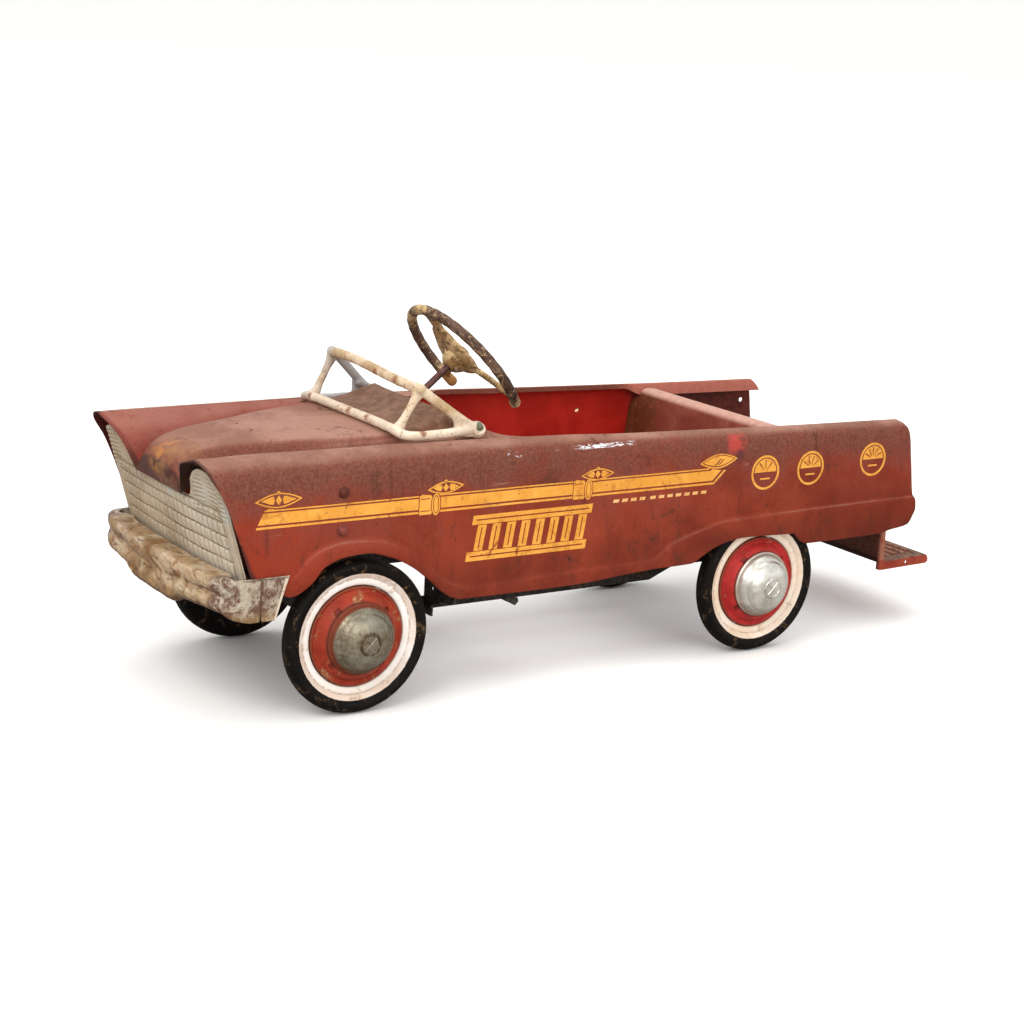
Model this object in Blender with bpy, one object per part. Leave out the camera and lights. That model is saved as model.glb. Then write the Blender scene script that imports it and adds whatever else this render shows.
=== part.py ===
"""Child's pedal car in the style of a 1950s fire engine.

Pressed-steel body on two strap rails, rigid front axle beam with kingpin
spindles, double-crank rear axle driven by two hanging pedals, and a bent-rod
steering column that shifts a slotted tie rod.

The car faces -Y, +X is the car's left, +Z is up, the ground is z = 0 and the
origin is the middle of the car's outline on the ground. Lengths below are in
millimetres, with y counted from midway between the axles; build() and pivot()
turn them into metres about the origin.
"""
import math

import bmesh
import bpy
import numpy as np

MM = 0.001
DATUM = np.array([0.0, 74.0, 0.0])      # the origin, counted from midway between the axles
ZERO = (0.0, 0.0, 0.0)
AXIS_X = np.array([1.0, 0.0, 0.0])
AXIS_Y = np.array([0.0, 1.0, 0.0])
AXIS_Z = np.array([0.0, 0.0, 1.0])
SIDES = (("left", 1), ("right", -1))    # side and the sign of its x

# ---------------------------------------------------------------- main dimensions (mm)
WHEEL_R = 95.0            # tyre outside radius
AXLE_Y = 306.0            # both axles lie this far from the middle
AXLE_HEIGHT = WHEEL_R
AXLE_R = 5.0
AXLE_END_X = 196.0        # ends of the rear axle and of the front stubs
FRONT_FACE_X = 176.0      # outer face of a front tyre
REAR_FACE_X = 174.5       # outer face of a rear tyre
RUN_FIT = 0.35            # radial play of a wheel, kingpin or bearing
LOOSE_FIT = 0.4           # radial play in the pedal linkage

SHEET = 1.5               # body sheet thickness
WALL_X = 178.0            # outside of the flat body side
SPAN_X = 176.0            # half width of the bars between the body sides
SEAT_X = 175.6            # half width of the seat sheets

BOLT_R = 2.6
BOLT_HOLE_R = 3.1
FENDER_BOLT_Y = -335.0
FENDER_BOLT_Z = (276.0, 230.0)          # upper, lower
SCREEN_FOOT = (131.0, -128.0)           # x, y of the windscreen's bolted foot

KING_X = 120.0            # kingpin offset
KING_R = 5.0
ARM = 40.0                # steering arm, kingpin to slot

CRANK = 28.0              # pedal crank throw
CRANK_IN, CRANK_OUT = 34.0, 58.0        # x of the crank's two webs
PEDAL_PIVOT = (-160.0, 270.0)           # y, z of the pedal shaft
PEDAL_PIN = (-45.0, 97.0)               # y, z of each pedal's own pin
PEDAL_ROD_R = 4.0         # radius of the pedal shaft and of the bent pedal arms
PEDAL_ARM_X = 52.0

# steering column: centre of the wheel hub, and the slope of the axis
COL_TILT = math.radians(39.5)
COL_HUB = np.array([0.0, -79.5, 393.1])
COL_AXIS = np.array([0.0, math.cos(COL_TILT), math.sin(COL_TILT)])     # towards the driver
COL_UP = np.array([0.0, -math.sin(COL_TILT), math.cos(COL_TILT)])      # up the wheel's face
COL_R = 4.4
COL_CRANK = 35.0          # throw of the column's bent lower end


# ---------------------------------------------------------------- scene reset
for old in list(bpy.data.objects):
    bpy.data.objects.remove(old, do_unlink=True)

helpers = bpy.data.collections.new("helpers")
bpy.context.scene.collection.children.link(helpers)


# ---------------------------------------------------------------- materials
def material(name, colour, rough, metal=0.0):
    mat = bpy.data.materials.new(name)
    mat.use_nodes = True
    shader = mat.node_tree.nodes["Principled BSDF"]
    shader.inputs["Base Color"].default_value = (*colour, 1.0)
    shader.inputs["Roughness"].default_value = rough
    shader.inputs["Metallic"].default_value = metal
    mat.diffuse_color = (*colour, 1.0)
    return mat


RED = material("faded_red_paint", colour=(0.34, 0.075, 0.055), rough=0.55)
SILVER = material("worn_silver_paint", colour=(0.46, 0.42, 0.34), rough=0.55, metal=0.2)
RUSTED = material("rusted_bumper", colour=(0.42, 0.27, 0.17), rough=0.6, metal=0.2)
CREAM = material("cream_paint", colour=(0.78, 0.72, 0.6), rough=0.5)
RUBBER = material("black_rubber", colour=(0.03, 0.03, 0.03), rough=0.7)
PEDAL_RUBBER = material("pedal_rubber", colour=(0.05, 0.045, 0.04), rough=0.8)
DISC_RED = material("wheel_red_paint", colour=(0.45, 0.06, 0.04), rough=0.5)
CHROME = material("dull_chrome", colour=(0.55, 0.54, 0.48), rough=0.35, metal=0.9)
STEEL = material("dark_steel", colour=(0.09, 0.07, 0.06), rough=0.6, metal=0.6)
BROWN = material("steering_plastic", colour=(0.16, 0.1, 0.07), rough=0.5)


# ---------------------------------------------------------------- shapes: (verts, faces)
def skin_data(grid, outward, thick=SHEET):
    """Closed sheet: the grid is its outer face, and the inner face is offset."""
    outer = np.asarray(grid, float)
    rows, cols = outer.shape[:2]
    normal = np.cross(np.gradient(outer, axis=1), np.gradient(outer, axis=0))
    normal /= np.linalg.norm(normal, axis=2, keepdims=True)
    if np.dot(normal[rows // 2, cols // 2], outward) < 0:
        normal = -normal
    inner = outer - normal * thick
    verts = list(outer.reshape(-1, 3)) + list(inner.reshape(-1, 3))
    faces = []

    def at(i, j, back=0):
        return back * rows * cols + i * cols + j

    for i in range(rows - 1):
        for j in range(cols - 1):
            faces.append((at(i, j), at(i, j + 1), at(i + 1, j + 1), at(i + 1, j)))
            faces.append((at(i, j, 1), at(i + 1, j, 1), at(i + 1, j + 1, 1), at(i, j + 1, 1)))
    for i in range(rows - 1):
        for j in (0, cols - 1):
            faces.append((at(i, j), at(i + 1, j), at(i + 1, j, 1), at(i, j, 1)))
    for j in range(cols - 1):
        for i in (0, rows - 1):
            faces.append((at(i, j), at(i, j + 1), at(i, j + 1, 1), at(i, j, 1)))
    return verts, faces


def cross_axes(axis, ref):
    """Two unit vectors square to the axis, the first as near ref as can be."""
    first = ref - axis * np.dot(ref, axis)
    first /= np.linalg.norm(first)
    return first, np.cross(axis, first)


def tube_data(path, radius, sides, depth=None):
    """Round bar along a path, mitred at its bends; depth is the second radius if oval."""
    points = [np.asarray(p, float) for p in path]
    dirs = [after - before for before, after in zip(points, points[1:])]
    dirs = [step / np.linalg.norm(step) for step in dirs]
    wide, deep = cross_axes(dirs[0], AXIS_X if abs(dirs[0][0]) < 0.8 else AXIS_Z)
    if depth is None:
        depth = radius
    ring = [points[0] + radius * math.cos(angle) * wide + depth * math.sin(angle) * deep
            for angle in np.linspace(0, 2 * math.pi, sides, endpoint=False)]
    verts = list(ring)
    for k in range(1, len(points)):
        run = dirs[k - 1]
        mitre = run
        if k < len(points) - 1:
            mitre = run + dirs[k]
            mitre /= np.linalg.norm(mitre)
        ring = [p + run * (np.dot(points[k] - p, mitre) / np.dot(run, mitre)) for p in ring]
        verts += ring
    faces = []
    for k in range(len(points) - 1):
        for j in range(sides):
            here, beside = k * sides + j, k * sides + (j + 1) % sides
            faces.append((here, beside, beside + sides, here + sides))
    faces.append(tuple(range(sides))[::-1])
    last = (len(points) - 1) * sides
    faces.append(tuple(range(last, last + sides)))
    return verts, faces


def lathe_data(profile, origin, axis, sides):
    """Closed solid of revolution. profile holds (radius, distance along axis)."""
    axis = np.asarray(axis, float)
    first, second = cross_axes(axis, AXIS_Z if abs(axis[2]) < 0.9 else AXIS_X)
    origin = np.asarray(origin, float)
    verts, rings = [], []
    for radius, along in profile:
        centre = origin + axis * along
        if radius < 1e-6:
            rings.append([len(verts)])
            verts.append(centre)
        else:
            rings.append(list(range(len(verts), len(verts) + sides)))
            verts += [centre + radius * (math.cos(angle) * first + math.sin(angle) * second)
                      for angle in np.linspace(0, 2 * math.pi, sides, endpoint=False)]
    faces = []
    pairs = list(zip(rings, rings[1:]))
    if len(rings[0]) > 1 or len(rings[-1]) > 1:
        pairs.append((rings[-1], rings[0]))
    for ring, after in pairs:
        for j in range(sides):
            k = (j + 1) % sides
            if len(ring) == 1:
                faces.append((ring[0], after[j], after[k]))
            elif len(after) == 1:
                faces.append((ring[j], ring[k], after[0]))
            else:
                faces.append((ring[j], ring[k], after[k], after[j]))
    return verts, faces


def cylinder_data(start, end, radius, sides=16):
    start, end = np.asarray(start, float), np.asarray(end, float)
    length = np.linalg.norm(end - start)
    return lathe_data([(0, 0), (radius, 0), (radius, length), (0, length)],
                      start, (end - start) / length, sides)


def prism_data(outline, base, first, second, along, low, high):
    """Outline in the first-second plane, extruded along the third axis from low to high."""
    base, first, second, along = (np.asarray(v, float) for v in (base, first, second, along))
    count = len(outline)
    verts = [base + first * p + second * q + along * end
             for end in (low, high) for p, q in outline]
    faces = [tuple(range(count))[::-1], tuple(range(count, 2 * count))]
    faces += [(j, (j + 1) % count, count + (j + 1) % count, count + j) for j in range(count)]
    return verts, faces


def box_data(x_range, y_range, z_range):
    (x0, x1), (y0, y1) = x_range, y_range
    return prism_data([(x0, y0), (x1, y0), (x1, y1), (x0, y1)],
                      ZERO, AXIS_X, AXIS_Y, AXIS_Z, *z_range)


def slot_data(start, end, half_width, base, long_axis, wide_axis, through, low, high):
    """Round-ended slot from start to end along long_axis."""
    turn = np.linspace(0, math.pi, 7)
    outline = [(end + half_width * math.sin(t), half_width * math.cos(t)) for t in turn]
    outline += [(start - half_width * math.sin(t), -half_width * math.cos(t)) for t in turn]
    return prism_data(outline, base, long_axis, wide_axis, through, low, high)


def both(half):
    """A row of points from the middle outwards, with its mirror image put before it."""
    return [(-x, y, z) for x, y, z in half[:0:-1]] + half


def curve(*pairs):
    """Straight-line interpolation through (position, value) pairs."""
    places, values = zip(*pairs)
    return lambda place: float(np.interp(place, places, values))


def on_column(across, up, along):
    """A point given across, up the wheel's face, and along the column."""
    return COL_HUB + AXIS_X * across + COL_UP * up + COL_AXIS * along


# ---------------------------------------------------------------- objects
def build(name, data, mat, origin=ZERO, helper=False):
    """One object from millimetre shape data, its own origin at the given point."""
    verts, faces = data
    shift = np.asarray(origin, float)
    mesh = bpy.data.meshes.new(name)
    mesh.from_pydata([tuple((np.asarray(v, float) - shift) * MM) for v in verts], [], faces)
    bm = bmesh.new()
    bm.from_mesh(mesh)
    bmesh.ops.recalc_face_normals(bm, faces=bm.faces)
    bm.to_mesh(mesh)
    bm.free()
    mesh.materials.append(mat)
    obj = bpy.data.objects.new(name, mesh)
    obj.location = tuple((shift - DATUM) * MM)
    if helper:
        helpers.objects.link(obj)
        obj.hide_render = True
        obj.display_type = "WIRE"
    else:
        bpy.context.scene.collection.objects.link(obj)
    return obj


def combine(obj, data, name, operation):
    helper = build(name, data, obj.data.materials[0], helper=True)
    mod = obj.modifiers.new(name, "BOOLEAN")
    mod.operation = operation
    mod.solver = "EXACT"
    mod.object = helper


def cut(obj, data, name):
    """Takes a helper solid away from an object."""
    combine(obj, data, name, "DIFFERENCE")


def join(obj, data, name):
    """Adds a helper solid to an object."""
    combine(obj, data, name, "UNION")


def pivot(name, at):
    """Empty on a joint's axis, which carries the pieces that turn or slide there."""
    empty = bpy.data.objects.new(name, None)
    empty.empty_display_size = 0.03
    empty.location = tuple((np.asarray(at, float) - DATUM) * MM)
    bpy.context.scene.collection.objects.link(empty)
    return empty


def carry(empty, *objects):
    bpy.context.view_layer.update()
    for obj in objects:
        obj.parent = empty
        obj.matrix_parent_inverse = empty.matrix_world.inverted()


# ---------------------------------------------------------------- body sides
# (y, value): the crest is the top edge of a side, beside the hood
crest_x = curve((-510, 141), (-15, 155), (60, 158), (580, 158))
crest_z = curve((-510, 320), (-460, 320.5), (-190, 320.5), (-15, 318), (60, 315), (200, 311),
                (320, 308), (580, 303))
# (z, y) of the two end edges
front_edge = curve((160, -425), (176, -446), (188, -452), (202, -457), (226, -465), (256, -476),
                   (283, -488), (304, -501), (321, -509))
rear_edge = curve((151, 556), (159, 565), (165, 568), (174, 572), (189, 571), (196, 568),
                  (247, 559), (290, 551), (298, 546), (306, 535), (310, 530))
# (y, z) of the bottom edge, and of the line above it where the side swells out
sill_z = curve((-455, 184), (-425, 172), (-400, 157), (-376, 169), (-357, 189), (-331, 198),
               (-304, 200), (-271, 192), (-243, 178), (-214, 156), (-200, 143), (-185, 133),
               (-171, 129), (-24, 128), (132, 136), (181, 137), (200, 146), (214, 153),
               (240, 161), (265, 164), (329, 162), (354, 161), (367, 149), (378, 145),
               (506, 146), (530, 150), (554, 153), (572, 159))
flare_z = curve((-455, 191), (-425, 184), (-404, 178), (-394, 181), (-383, 196), (-359, 211),
                (-326, 217), (-292, 215), (-262, 206), (-234, 189), (-210, 167), (-185, 151),
                (-153, 143), (-7, 147), (120, 149), (134, 158), (145, 166), (193, 181),
                (234, 190), (302, 192), (447, 194), (575, 195))
# (y, how far the swelling stands out)
bulge_out = curve((-404, 0.4), (-380, 4.5), (-200, 4.5), (-150, 2.0), (120, 2.0), (145, 4.5),
                  (575, 4.5))
# y of the sections; those beyond the two fixed ones are drawn in to the end edges
SIDE_STATIONS = [-520, -460, -400, -376, -357, -331, -304, -271, -243, -214, -200, -185, -171,
                 -15, 60, 120, 145, 181, 214, 240, 265, 329, 354, 378, 506, 530, 552, 580]
FRONT_FIXED_Y, REAR_FIXED_Y = -400, 506
LAMP_HOLES = ((234.0, 270.0), (538.0, 268.0))       # y, z, in the right side only


def side_section(y):
    """The 13 (x, z) points of a body side at y, from the crest down to the sill."""
    top_x, top_z, flare, low, bulge = crest_x(y), crest_z(y), flare_z(y), sill_z(y), bulge_out(y)
    span = WALL_X - top_x
    shoulder = top_z - 32.0
    return [
        (top_x, top_z - 7.0),
        (top_x, top_z - 0.8),
        (top_x + 2.0, top_z),
        (top_x + 0.35 * span, top_z - 1.5),
        (top_x + 0.7 * span, top_z - 6.0),
        (top_x + 0.93 * span, top_z - 15.0),
        (WALL_X, shoulder),
        (WALL_X + 0.4, 0.5 * (shoulder + flare)),
        (WALL_X + 0.2, flare + 3.0),
        (WALL_X + bulge * 0.85, flare - 2.0),
        (WALL_X + bulge, flare - 0.45 * (flare - low) - 1.0),
        (WALL_X + 0.8 * bulge, low + 1.5),
        (WALL_X + 0.4 * bulge, low),
    ]


def fit_end(y, fixed, end, edge):
    """Rescales y beyond the fixed section so that the last station meets the edge."""
    return fixed + (y - fixed) * (edge - fixed) / (end - fixed)


def side_grid(sign):
    grid = []
    for row in range(13):
        # the height of this row near each end sets where its edge lies
        front_y = front_edge(side_section(-450 if row > 7 else -505)[row][1])
        rear_y = rear_edge(side_section(560)[row][1])
        line = []
        for y in SIDE_STATIONS:
            if y < FRONT_FIXED_Y:
                y = fit_end(y, FRONT_FIXED_Y, SIDE_STATIONS[0], front_y)
            elif y > REAR_FIXED_Y:
                y = fit_end(y, REAR_FIXED_Y, SIDE_STATIONS[-1], rear_y)
            x, z = side_section(y)[row]
            line.append((sign * x, y, z))
        grid.append(line)
    return grid


def side_hole(panel, sign, y, z, radius, name):
    cut(panel, cylinder_data((sign * 165, y, z), (sign * 190, y, z), radius, 12), name)


def make_side_panels():
    for side, sign in SIDES:
        panel = build(f"side_panel_{side}", skin_data(side_grid(sign), (sign, 0, 0)), RED)
        for k, z in enumerate(FENDER_BOLT_Z):
            side_hole(panel, sign, FENDER_BOLT_Y, z, BOLT_HOLE_R, f"hole_fender_{side}_{k}")
        if side == "right":
            for k, (y, z) in enumerate(LAMP_HOLES):
                side_hole(panel, sign, y, z, 3.5, f"hole_lamp_{k}")


# ---------------------------------------------------------------- hood and cowl
# rows from the nose lip back to the cockpit: y where the row meets the crest,
# then its (x, y, z) points from the middle outwards
HOOD = [
    (-509, [(0, -490, 263), (30, -490, 263), (50, -490, 263), (60, -490, 263),
            (65, -490, 263), (82, -498, 290), (96, -504, 305)]),
    (-500, [(0, -494, 282), (30, -493, 281), (50, -491, 277), (60, -489, 271),
            (66, -485, 266), (83, -492, 292), (97, -497, 306)]),
    (-488, [(0, -487, 300), (28, -486, 299), (47, -483, 294), (58, -479, 281),
            (67, -475, 269), (84, -482, 294), (99, -487, 307)]),
    (-466, [(0, -470, 311), (28, -469, 310), (48, -466, 306), (59, -463, 289),
            (68, -460, 272), (85, -464, 296), (101, -466, 309)]),
    (-440, [(0, -440, 316), (30, -440, 316), (51, -440, 313), (64, -440, 294),
            (72, -440, 277), (88, -440, 298), (104, -440, 311)]),
    (-380, [(0, -380, 321), (38, -380, 321), (63, -380, 318), (75, -380, 303),
            (84, -380, 290), (97, -380, 303), (112, -380, 313)]),
    (-300, [(0, -300, 325), (55, -300, 324.5), (89, -300, 321.5), (99, -300, 313),
            (108, -300, 303), (117, -300, 309), (127, -300, 316)]),
    (-240, [(0, -240, 327), (65, -240, 326.5), (102, -240, 324.5), (110, -240, 318),
            (118, -240, 311), (126, -240, 314), (134, -240, 318)]),
    (-190, [(0, -190, 334), (66, -190, 333.5), (103, -190, 331), (112, -190, 323),
            (121, -190, 316), (129, -190, 317), (138, -190, 318.5)]),
    (-105, [(0, -168, 340), (65, -167, 340), (102, -166, 338), (112, -158, 328),
            (122, -148, 319), (131, -138, 316.5), (141, -120, 316.5)]),
    (-15, [(0, -150, 344), (64, -148, 344), (100, -144, 344), (112, -128, 333),
           (122, -108, 323), (131, -86, 317), (142, -50, 315)]),
]
BELL_HOLE = (20, -379)      # x, y


def make_hood():
    grid = [both([*points, (crest_x(edge_y) - 0.9, edge_y, crest_z(edge_y) - 0.8)])
            for edge_y, points in HOOD]
    hood = build("hood", skin_data(grid, (0, 0, 1)), RED)
    for side, sign in SIDES:
        for label, (x, y), low, radius, sides in (("bell", BELL_HOLE, 312, 2.2, 10),
                                                  ("screen", SCREEN_FOOT, 300, BOLT_HOLE_R, 12)):
            cut(hood, cylinder_data((sign * x, y, low), (sign * x, y, 330), radius, sides),
                f"hole_{label}_{side}")


# ---------------------------------------------------------------- grille
# embossed sheet with a headlamp lobe rising into each fender
GRILLE_X = [0, 24, 48, 68, 77, 86, 94, 108, 125, 145, 160, 172]
GRILLE_LOW = 170.0
GRILLE_STEPS = 10
GRILLE_RIB = 1.3            # every other row stands forward by this
grille_top = curve((0, 260), (68, 260), (77, 264), (86, 276), (94, 288), (108, 299),
                   (125, 304), (145, 302), (160, 298), (172, 288))


def grille_point(x, row):
    z = GRILLE_LOW + (grille_top(x) - GRILLE_LOW) * row / GRILLE_STEPS
    y = -462.0 - (z - 186.0) * 0.28 + 6.0 * (x / GRILLE_X[-1]) ** 2
    return x, y - (GRILLE_RIB if row % 2 else 0.0), z


def make_grille():
    grid = [both([grille_point(x, row) for x in GRILLE_X]) for row in range(GRILLE_STEPS + 1)]
    build("grille", skin_data(grid, (0, -1, 0), 1.2), SILVER)


# ---------------------------------------------------------------- bumper
# rolled channel that wraps round on to the fender sides; (x, y) from the middle
BUMPER_PATH = [(0, -498), (30, -498), (55, -497.6), (78, -497), (120, -495), (150, -491),
               (165, -486), (174, -480), (180, -469), (181.8, -452), (181.8, -441),
               (180.6, -438), (181.8, -435), (181.8, -404)]
BUMPER_TOP = 184.5
# section from the top down: (outward at full depth, height from 0 at the low edge to 1)
BUMPER_SECTION = [(-28, 1.0), (-3, 0.99), (0.0, 0.93), (0.8, 0.72), (-2.0, 0.55),
                  (-0.6, 0.42), (1.2, 0.28), (-1.0, 0.1), (-5, 0.02), (-12, 0.0)]
# (x, value): z of the low edge, and how much of the section's depth is left
bumper_low = curve((0, 128), (30, 128), (55, 129), (78, 139), (120, 142), (150, 144),
                   (165, 143), (174, 140), (180, 136), (181.7, 133), (182, 132))
bumper_depth = curve((0, 1.0), (145, 1.0), (165, 0.3), (174, 0.12), (180, 0.05), (182, 0.03))


def make_bumper():
    second_x, second_y = BUMPER_PATH[1]
    padded = [(-second_x, second_y), *BUMPER_PATH, BUMPER_PATH[-1]]
    half = []
    for before, (x, y), after in zip(padded, BUMPER_PATH, padded[2:]):
        run = np.array(after, float) - np.array(before, float)
        run /= np.linalg.norm(run)
        low, depth = bumper_low(x), bumper_depth(x)
        half.append([(x + run[1] * (out * depth), y - run[0] * (out * depth),
                      low + (BUMPER_TOP - low) * height) for out, height in BUMPER_SECTION])
    mirrored = [[(-x, y, z) for x, y, z in column] for column in half[:0:-1]]
    build("bumper", skin_data(mirrored + half, (0, -1, 0), SHEET), RUSTED)


# ---------------------------------------------------------------- seat and dash
# folded panel across the body: y, z, half width
SEAT_BACK = [(317, 200.5, SEAT_X), (322, 250, SEAT_X), (324, 276, 174.6), (325.5, 288, 168),
             (327, 296, 157.3), (331, 300.5, 157.3), (340, 301.2, 157.3), (349, 300.5, 157.3),
             (353.5, 297, 157.3), (355, 290, 157.3), (356, 262, 157.3)]
SEAT_BOW = 1.5              # the sides of the seat back lie this far behind its middle
# y, z of the pan in front of it
SEAT_PAN = [(172, 158), (171, 180), (172, 192), (176, 197.5), (186, 199), (198, 196),
            (304, 196), (313, 198)]
# x, z
DASH = [(-92, 286), (92, 286), (92, 330), (84, 337.5), (-84, 337.5), (-92, 330)]


def make_seat():
    back = [[(s * half, y + SEAT_BOW * s * s, z) for s in np.linspace(-1, 1, 7)]
            for y, z, half in SEAT_BACK]
    build("seat_back", skin_data(back, (0, 0, 1)), RED)
    pan = [[(s * SEAT_X, y, z) for s in np.linspace(-1, 1, 5)] for y, z in SEAT_PAN]
    build("seat_pan", skin_data(pan, (0, 0, 1)), RED)


def make_dash():
    """Bulkhead under the cowl, with the column's upper bearing hole."""
    dash = build("dash_panel", prism_data(DASH, ZERO, AXIS_X, AXIS_Z, AXIS_Y, -157, -154), RED)
    cut(dash, cylinder_data(on_column(0, 0, -130), on_column(0, 0, -60), COL_R + 1.0), "hole_dash")


# ---------------------------------------------------------------- windscreen and bolts
# bars from the middle outwards: x, y, z
SCREEN_BOTTOM = [(0, -239, 333.2), (60, -238.5, 333.2), (106, -237, 331.8), (127, -232.5, 327.2),
                 (137, -225, 326.3), (140.5, -212, 326.3), (139, -180, 326.4),
                 (*SCREEN_FOOT, 327.6)]
SCREEN_TOP = [(0, -209, 381), (60, -207.5, 380.5), (96, -205, 379.2), (109, -202, 377.5),
              (115, -196, 374), (119, -183, 364), (130.4, -138.5, 330.8)]
# bolts: radius, distance from the inner end
SCREEN_BOLT = [(0, 0), (BOLT_R, 0), (BOLT_R, 27.6), (5.2, 27.6), (4.8, 29.8), (3, 31.4), (0, 32.0)]
FENDER_BOLT = [(0, 0), (BOLT_R, 0), (BOLT_R, 11.2), (6.4, 11.2), (5.6, 13.2), (3.4, 14.6),
               (0, 15.2)]


def make_windscreen():
    frame = build("windshield_frame", tube_data(both(SCREEN_BOTTOM), 5.0, 8), CREAM)
    join(frame, tube_data(both(SCREEN_TOP), 4.8, 8), "screen_top_bar")
    foot_x, foot_y = SCREEN_FOOT
    for side, sign in SIDES:
        def foot(z):
            return sign * foot_x, foot_y, z

        strut = [(sign * 117, -233, 328.5), (sign * 112, -200, 376.5)]
        join(frame, tube_data(strut, 4.6, 8), f"screen_strut_{side}")
        join(frame, cylinder_data(foot(323.4), foot(333.0), 8.4), f"screen_boss_{side}")
        cut(frame, cylinder_data(foot(300), foot(350), BOLT_HOLE_R, 12),
            f"screen_bolt_hole_{side}")
        build(f"windshield_bolt_{side}", lathe_data(SCREEN_BOLT, foot(306), AXIS_Z, 12), CHROME)


def make_fender_bolts():
    for side, sign in SIDES:
        for label, z in zip(("upper", "lower"), FENDER_BOLT_Z):
            inner_end = (sign * 167.8, FENDER_BOLT_Y, z)
            build(f"fender_bolt_{label}_{side}",
                  lathe_data(FENDER_BOLT, inner_end, (sign, 0, 0), 12), RED)


# ---------------------------------------------------------------- frame and fixed ironwork
# x, z: double-flanged beam, forked at both ends round the spindles
BEAM = [(-130, 83), (-104, 83), (-104, 88), (104, 88), (104, 83), (130, 83), (130, 86),
        (108, 86), (108, 104), (130, 104), (130, 107), (104, 107), (104, 102), (-104, 102),
        (-104, 107), (-130, 107), (-130, 104), (-108, 104), (-108, 86), (-130, 86)]
BEAM_HALF = 8
# y, z: strap rail with a raised stretch and an eye for the rear axle
RAIL = [(-297.6, 88), (-285, 92), (-240, 96), (172, 96), (212, 112), (262, 112), (288, 84),
        (320, 84), (326, 90), (326, 101), (320, 106), (294, 106), (270, 127), (204, 127),
        (166, 112), (-225, 112), (-240, 106), (-297.6, 106)]
RAIL_X = (98, 104)          # inner and outer face
BEARING_R = 8.7             # sleeve in the rail
BEARING_BORE = AXLE_R + RUN_FIT
# radius, x: sleeve and outer collar
BEARING = [(BEARING_BORE, 95), (BEARING_R, 95), (BEARING_R, 104.4), (12, 104.4), (12, 107.5),
           (BEARING_BORE, 107.5)]
# y, z: leaning strap from the front axle up to the body hanger
AXLE_POST = [(-314, 102.4), (-302, 102.4), (-324, 216.2), (-346, 216.2)]
# x, z: web from the rail out to the body side
SILL_BRACKET = [(104.4, 92), (123, 92), (123, 106), (150, 117), (176.2, 122), (176.2, 134),
                (150, 139), (104.4, 139)]
# x, z: U-shaped strap across the body
HANGER = [(-175.8, 288), (-175.8, 216.6), (175.8, 216.6), (175.8, 288), (172.8, 288),
          (172.8, 219.6), (-172.8, 219.6), (-172.8, 288)]
HANGER_HALF = 11
# y, z
CROSSMEMBER = [(532, 186), (532, 158), (533.5, 154), (537, 152.5), (546, 152.5)]


def make_front_beam():
    beam = build("front_axle_beam",
                 prism_data(BEAM, ZERO, AXIS_X, AXIS_Z, AXIS_Y,
                            -AXLE_Y - BEAM_HALF, -AXLE_Y + BEAM_HALF), STEEL)
    for side, sign in SIDES:
        x = sign * KING_X
        cut(beam, cylinder_data((x, -AXLE_Y, 60), (x, -AXLE_Y, 130), KING_R + RUN_FIT),
            f"hole_king_{side}")


def make_rail(side, sign):
    rail = build(f"chassis_rail_{side}",
                 prism_data(RAIL, ZERO, AXIS_Y, AXIS_Z, (sign, 0, 0), *RAIL_X), STEEL)
    cut(rail, cylinder_data((sign * 90, AXLE_Y, AXLE_HEIGHT), (sign * 115, AXLE_Y, AXLE_HEIGHT),
                            BEARING_R + RUN_FIT, 20), f"hole_axle_{side}")
    build(f"rear_bearing_{side}",
          lathe_data(BEARING, (0, AXLE_Y, AXLE_HEIGHT), (sign, 0, 0), 14), CHROME)


def make_posts(side, sign):
    build(f"rear_post_{side}",
          box_data(sorted((sign * 99.5, sign * 102.5)), (296, 313), (106.4, 191.5)), STEEL)
    build(f"axle_post_{side}",
          prism_data(AXLE_POST, ZERO, AXIS_Y, AXIS_Z, (sign, 0, 0), 98.5, 101.5), STEEL)


def make_sill_bracket(side, sign):
    bracket = build(f"sill_bracket_{side}",
                    prism_data(SILL_BRACKET, ZERO, (sign, 0, 0), AXIS_Z, AXIS_Y, -178, -175), STEEL)
    cut(bracket, cylinder_data((sign * 123, -190, 128), (sign * 123, -160, 128), 3.4, 12),
        f"hole_bracket_{side}")


def make_hanger():
    hanger = build("front_body_hanger",
                   prism_data(HANGER, ZERO, AXIS_X, AXIS_Z, AXIS_Y,
                              FENDER_BOLT_Y - HANGER_HALF, FENDER_BOLT_Y + HANGER_HALF), STEEL)
    for side, sign in SIDES:
        for k, z in enumerate(FENDER_BOLT_Z):
            cut(hanger, cylinder_data((sign * 165, FENDER_BOLT_Y, z),
                                      (sign * 180, FENDER_BOLT_Y, z), BOLT_HOLE_R, 12),
                f"hole_hanger_{side}_{k}")


def make_column_strut():
    """Flat bar across the body, square to the column, that the column passes through."""
    outline = [(-SPAN_X, -9), (SPAN_X, -9), (SPAN_X, 9), (-SPAN_X, 9)]
    strut = build("column_strut", prism_data(outline, on_column(0, 0, -262),
                                             AXIS_X, COL_UP, COL_AXIS, -1.5, 1.5), STEEL)
    cut(strut, cylinder_data(on_column(0, 0, -280), on_column(0, 0, -240), COL_R + 0.6),
        "hole_strut")


def make_cross_bars():
    build("pedal_shaft", cylinder_data((-SPAN_X, *PEDAL_PIVOT), (SPAN_X, *PEDAL_PIVOT),
                                       PEDAL_ROD_R, 14), STEEL)
    grid = [[(s * SPAN_X, y, z) for s in (-1, 0, 1)] for y, z in CROSSMEMBER]
    build("rear_crossmember", skin_data(grid, (0, -1, 0), 2.0), STEEL)


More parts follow.
